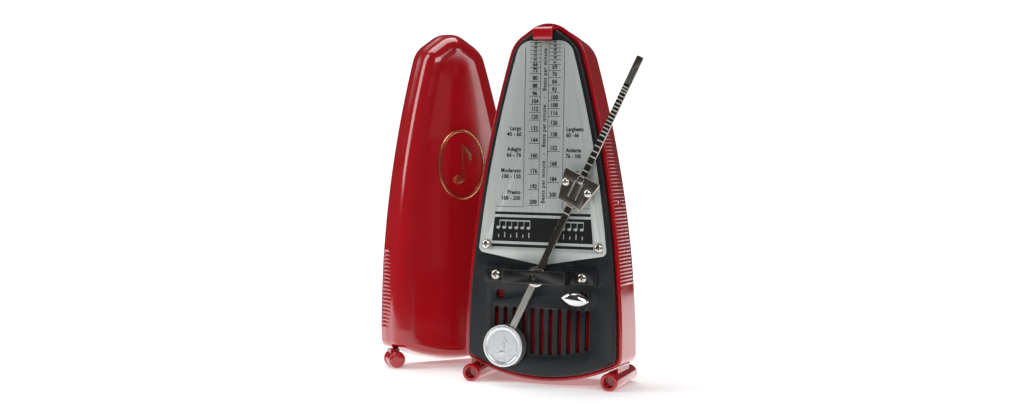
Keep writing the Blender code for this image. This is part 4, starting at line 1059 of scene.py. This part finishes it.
# ---------------------------------------------------------------- cover
def make_cover():
    """Deep moulded cover, generously rounded from its sides to its front."""
    def ring(cut, depth=None, back=None, rib=0.0, swell=0.0):
        sink = COVER_SINK + swell
        return [(x, depth if back is None else rear(back, z, COVER_LEAN), z)
                for x, z in case_outline(cut + COVER_CUT, COVER_DROP, rib, COVER_GRIP, sink)]

    def edge_rings(radius, start, depth, steps=12):
        rings = []
        for i in range(steps + 1):
            a = math.pi / 2 * i / steps
            turned_in = radius * (1 - math.cos(a))
            y = COVER_FRONT + depth + radius * (1 - math.sin(a))
            rings.append(ring(start + turned_in, back=y, swell=COVER_SWELL * turned_in))
        return rings

    rim, wall, draft, edge = RIM_BACK - GAP, COVER_WALL, COVER_DRAFT, COVER_EDGE
    rings = edge_rings(edge - wall, draft + wall, wall, 8)[::-1]
    rings += [ring(wall, rim - 0.15), ring(wall - 0.15, rim), ring(0.3, rim), ring(0.1, rim - 0.1),
              ring(0.02, rim - 0.35), ring(0.04, rim - 0.8),
              ring(0.06, rim - 1.1, rib=-COVER_GROOVE), ring(0.35, rim - 5.6, rib=-COVER_GROOVE),
              ring(0.38, rim - 5.9)]
    rings += edge_rings(edge, draft, 0.0, 14)
    shell = loft("cover_moulding", rings)
    place(shell, COVER, "cover", RED, ["cover_shell"], 50)
    f, b, r = COVER_FOOT_FRONT, FOOT_FRONT - 0.4, FOOT_CENTRE - 0.01
    profile = [(f, 0), (f, r - 1.3), (f + 0.08, r - 0.9), (f + 0.3, r - 0.45), (f + 0.7, r - 0.12),
               (f + 1.2, r), (f + 3.0, r), (f + 3.3, r - 0.35), (b - 1.2, r - 0.35), (b - 0.9, r),
               (b - 0.3, r), (b, r - 0.3), (b, 0)]
    clear = 1.3 * GAP
    seat = loft("seat", [ring(-clear, 12.0)] + edge_rings(edge, draft - clear, -clear, 14))
    seat.data.transform(turn(-LEAN, "X"))
    stand_feet(profile, "stub_foot", "cover_foot", STAND, "cover", (f + 4, b - 0.5),
               2 * FOOT_RADIUS + 0.6, seat)


def make_emblem():
    """Oval ring and eighth note, raised and foiled in gold."""
    y1 = -0.12
    y0 = y1 - 0.6
    a, b = EMBLEM_HALF
    rings = []
    for cut, y in ((EMBLEM_BAND, y1), (0.0, y1), (0.0, y0 + 0.25), (0.08, y0 + 0.07), (0.25, y0),
                   (EMBLEM_BAND - 0.25, y0), (EMBLEM_BAND - 0.08, y0 + 0.07),
                   (EMBLEM_BAND, y0 + 0.25)):
        rings.append([((a - cut) * math.cos(t), y, (b - cut) * math.sin(t))
                      for t in (2 * math.pi * i / 96 for i in range(96))])
    ring = loft("foil_ring", rings, closed=True)
    place(ring, EMBLEM, "cover", FOIL, ["emblem_ring"])
    note = softened(make_note("foil_note", 0, 0, 1.0, y0, y1), 0.15, 3, 50)
    place(note, EMBLEM, "cover", FOIL, ["emblem_note"])


# ---------------------------------------------------------------- movement
def dress_movement():
    """Finishes of the clockwork inside, whose shapes are already right."""
    finishes = {
        RED: ["front_frame"],
        BRASS: ["back_frame", "barrel", "barrel_cap", "inter_wheel", "escape_wheel"],
        BLUED: ["mainspring", "click_spring"],
        STEEL: ["pillar_1", "pillar_2", "pillar_3", "pillar_4", "click_pin", "click_pawl",
                "ratchet_wheel", "winding_arbor", "inter_arbor", "inter_pinion", "escape_arbor",
                "escape_pinion", "pallet_anchor", "slider_leaf"],
        DARK_STRIP: ["pendulum_arbor"],
        NICKEL: ["side_pin_left", "side_pin_right", "frame_screw_1", "frame_screw_2",
                 "frame_screw_3", "frame_screw_4"],
        DARK_NICKEL: ["slider_back_plate"],
    }
    for mat, names in finishes.items():
        for name in names:
            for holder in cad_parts[name].material_slots:
                holder.material = mat


# ---------------------------------------------------------------- stage
def make_table():
    """White laminate tabletop.  The object mirrors it bright; to the eye it stays near white and
    fades into the surround towards its rim."""
    disc = solid("tabletop", [(x, z, -0.02) for x, z in circle(470, 96, (20, 0))],
                 [tuple(range(96))])
    mat = bpy.data.materials.new("white_laminate")
    mat.use_nodes = True
    shader = mat.node_tree.nodes["Principled BSDF"]
    shader.inputs["Base Color"].default_value = linear("f4f4f4")
    shader.inputs["Roughness"].default_value = 0.6
    shader.inputs["Emission Color"].default_value = linear("ffffff")
    table = mat.node_tree
    seen = add(table, "ShaderNodeLightPath")
    spot = add(table, "ShaderNodeTexCoord")
    reach = add(table, "ShaderNodeVectorMath", {"operation": "LENGTH"}, {0: spot.outputs["Object"]})
    fade = add(table, "ShaderNodeMapRange",
               {"From Min": 0.18, "From Max": 0.42, "To Min": 0.215, "To Max": 0.6},
               {"Value": reach.outputs["Value"]})
    glow = add(table, "ShaderNodeMapRange", {"To Min": 0.76},
               {"Value": seen.outputs["Is Camera Ray"], "To Max": fade.outputs["Result"]})
    table.links.new(glow.outputs["Result"], shader.inputs["Emission Strength"])
    disc.data.materials.append(mat)


def make_surround():
    """A dim room for light and reflections, seen as plain white paper."""
    world = bpy.data.worlds.new("studio")
    bpy.context.scene.world = world
    world.use_nodes = True
    tree = world.node_tree
    tree.nodes.clear()
    rays = add(tree, "ShaderNodeLightPath")
    room = add(tree, "ShaderNodeBackground", {"Color": (0.5, 0.5, 0.52, 1), "Strength": 0.14})
    paper = add(tree, "ShaderNodeBackground", {"Color": (1, 1, 1, 1), "Strength": 1.2})
    both = add(tree, "ShaderNodeMixShader", (),
               {0: rays.outputs["Is Camera Ray"], 1: room.outputs[0], 2: paper.outputs[0]})
    add(tree, "ShaderNodeOutputWorld", (), {"Surface": both.outputs[0]})


def make_lights():
    """Big soft boxes, all aimed at the middle of the object."""
    middle = Vector((0.0, 0.0, 0.08))
    lights = (("overhead_softbox", (-0.25, 0.2, 1.0), 0.9, 0.7, 9.0),
              ("left_softbox", (-0.9, -0.35, 0.6), 0.4, 0.75, 5.0),
              ("front_fill", (0.55, -1.05, 0.95), 0.8, 0.5, 8.5),
              ("right_strip", (0.85, -0.25, 0.45), 0.2, 0.6, 1.6))
    for name, spot, wide, tall, power in lights:
        lamp = bpy.data.lights.new(name, "AREA")
        lamp.shape, lamp.size, lamp.size_y, lamp.energy = "RECTANGLE", wide, tall, power
        obj = bpy.data.objects.new(name, lamp)
        bpy.context.scene.collection.objects.link(obj)
        obj.location = spot
        obj.rotation_euler = (middle - Vector(spot)).to_track_quat("-Z", "Y").to_euler()


def make_camera():
    scene = bpy.context.scene
    data = bpy.data.cameras.new("viewpoint")
    data.lens, data.sensor_width, data.clip_start = VIEW_LENS, 36.0, 0.01
    camera = bpy.data.objects.new("viewpoint", data)
    scene.collection.objects.link(camera)
    camera.location = FLOOR.translation + Vector(VIEW_AT)
    camera.rotation_euler = (math.radians(VIEW_TILT), 0, math.radians(VIEW_TURN))
    scene.camera = camera
    scene.view_settings.view_transform = "Standard"


make_case()
make_hook()
make_post()
make_plate()
make_dial()
make_scale()
make_band_marks()
make_screws()
make_bridge()
make_rod()
make_weight()
make_hub()
make_slider()
make_key()
make_feet()
make_cover()
make_emblem()
dress_movement()
make_table()
make_surround()
make_lights()
make_camera()
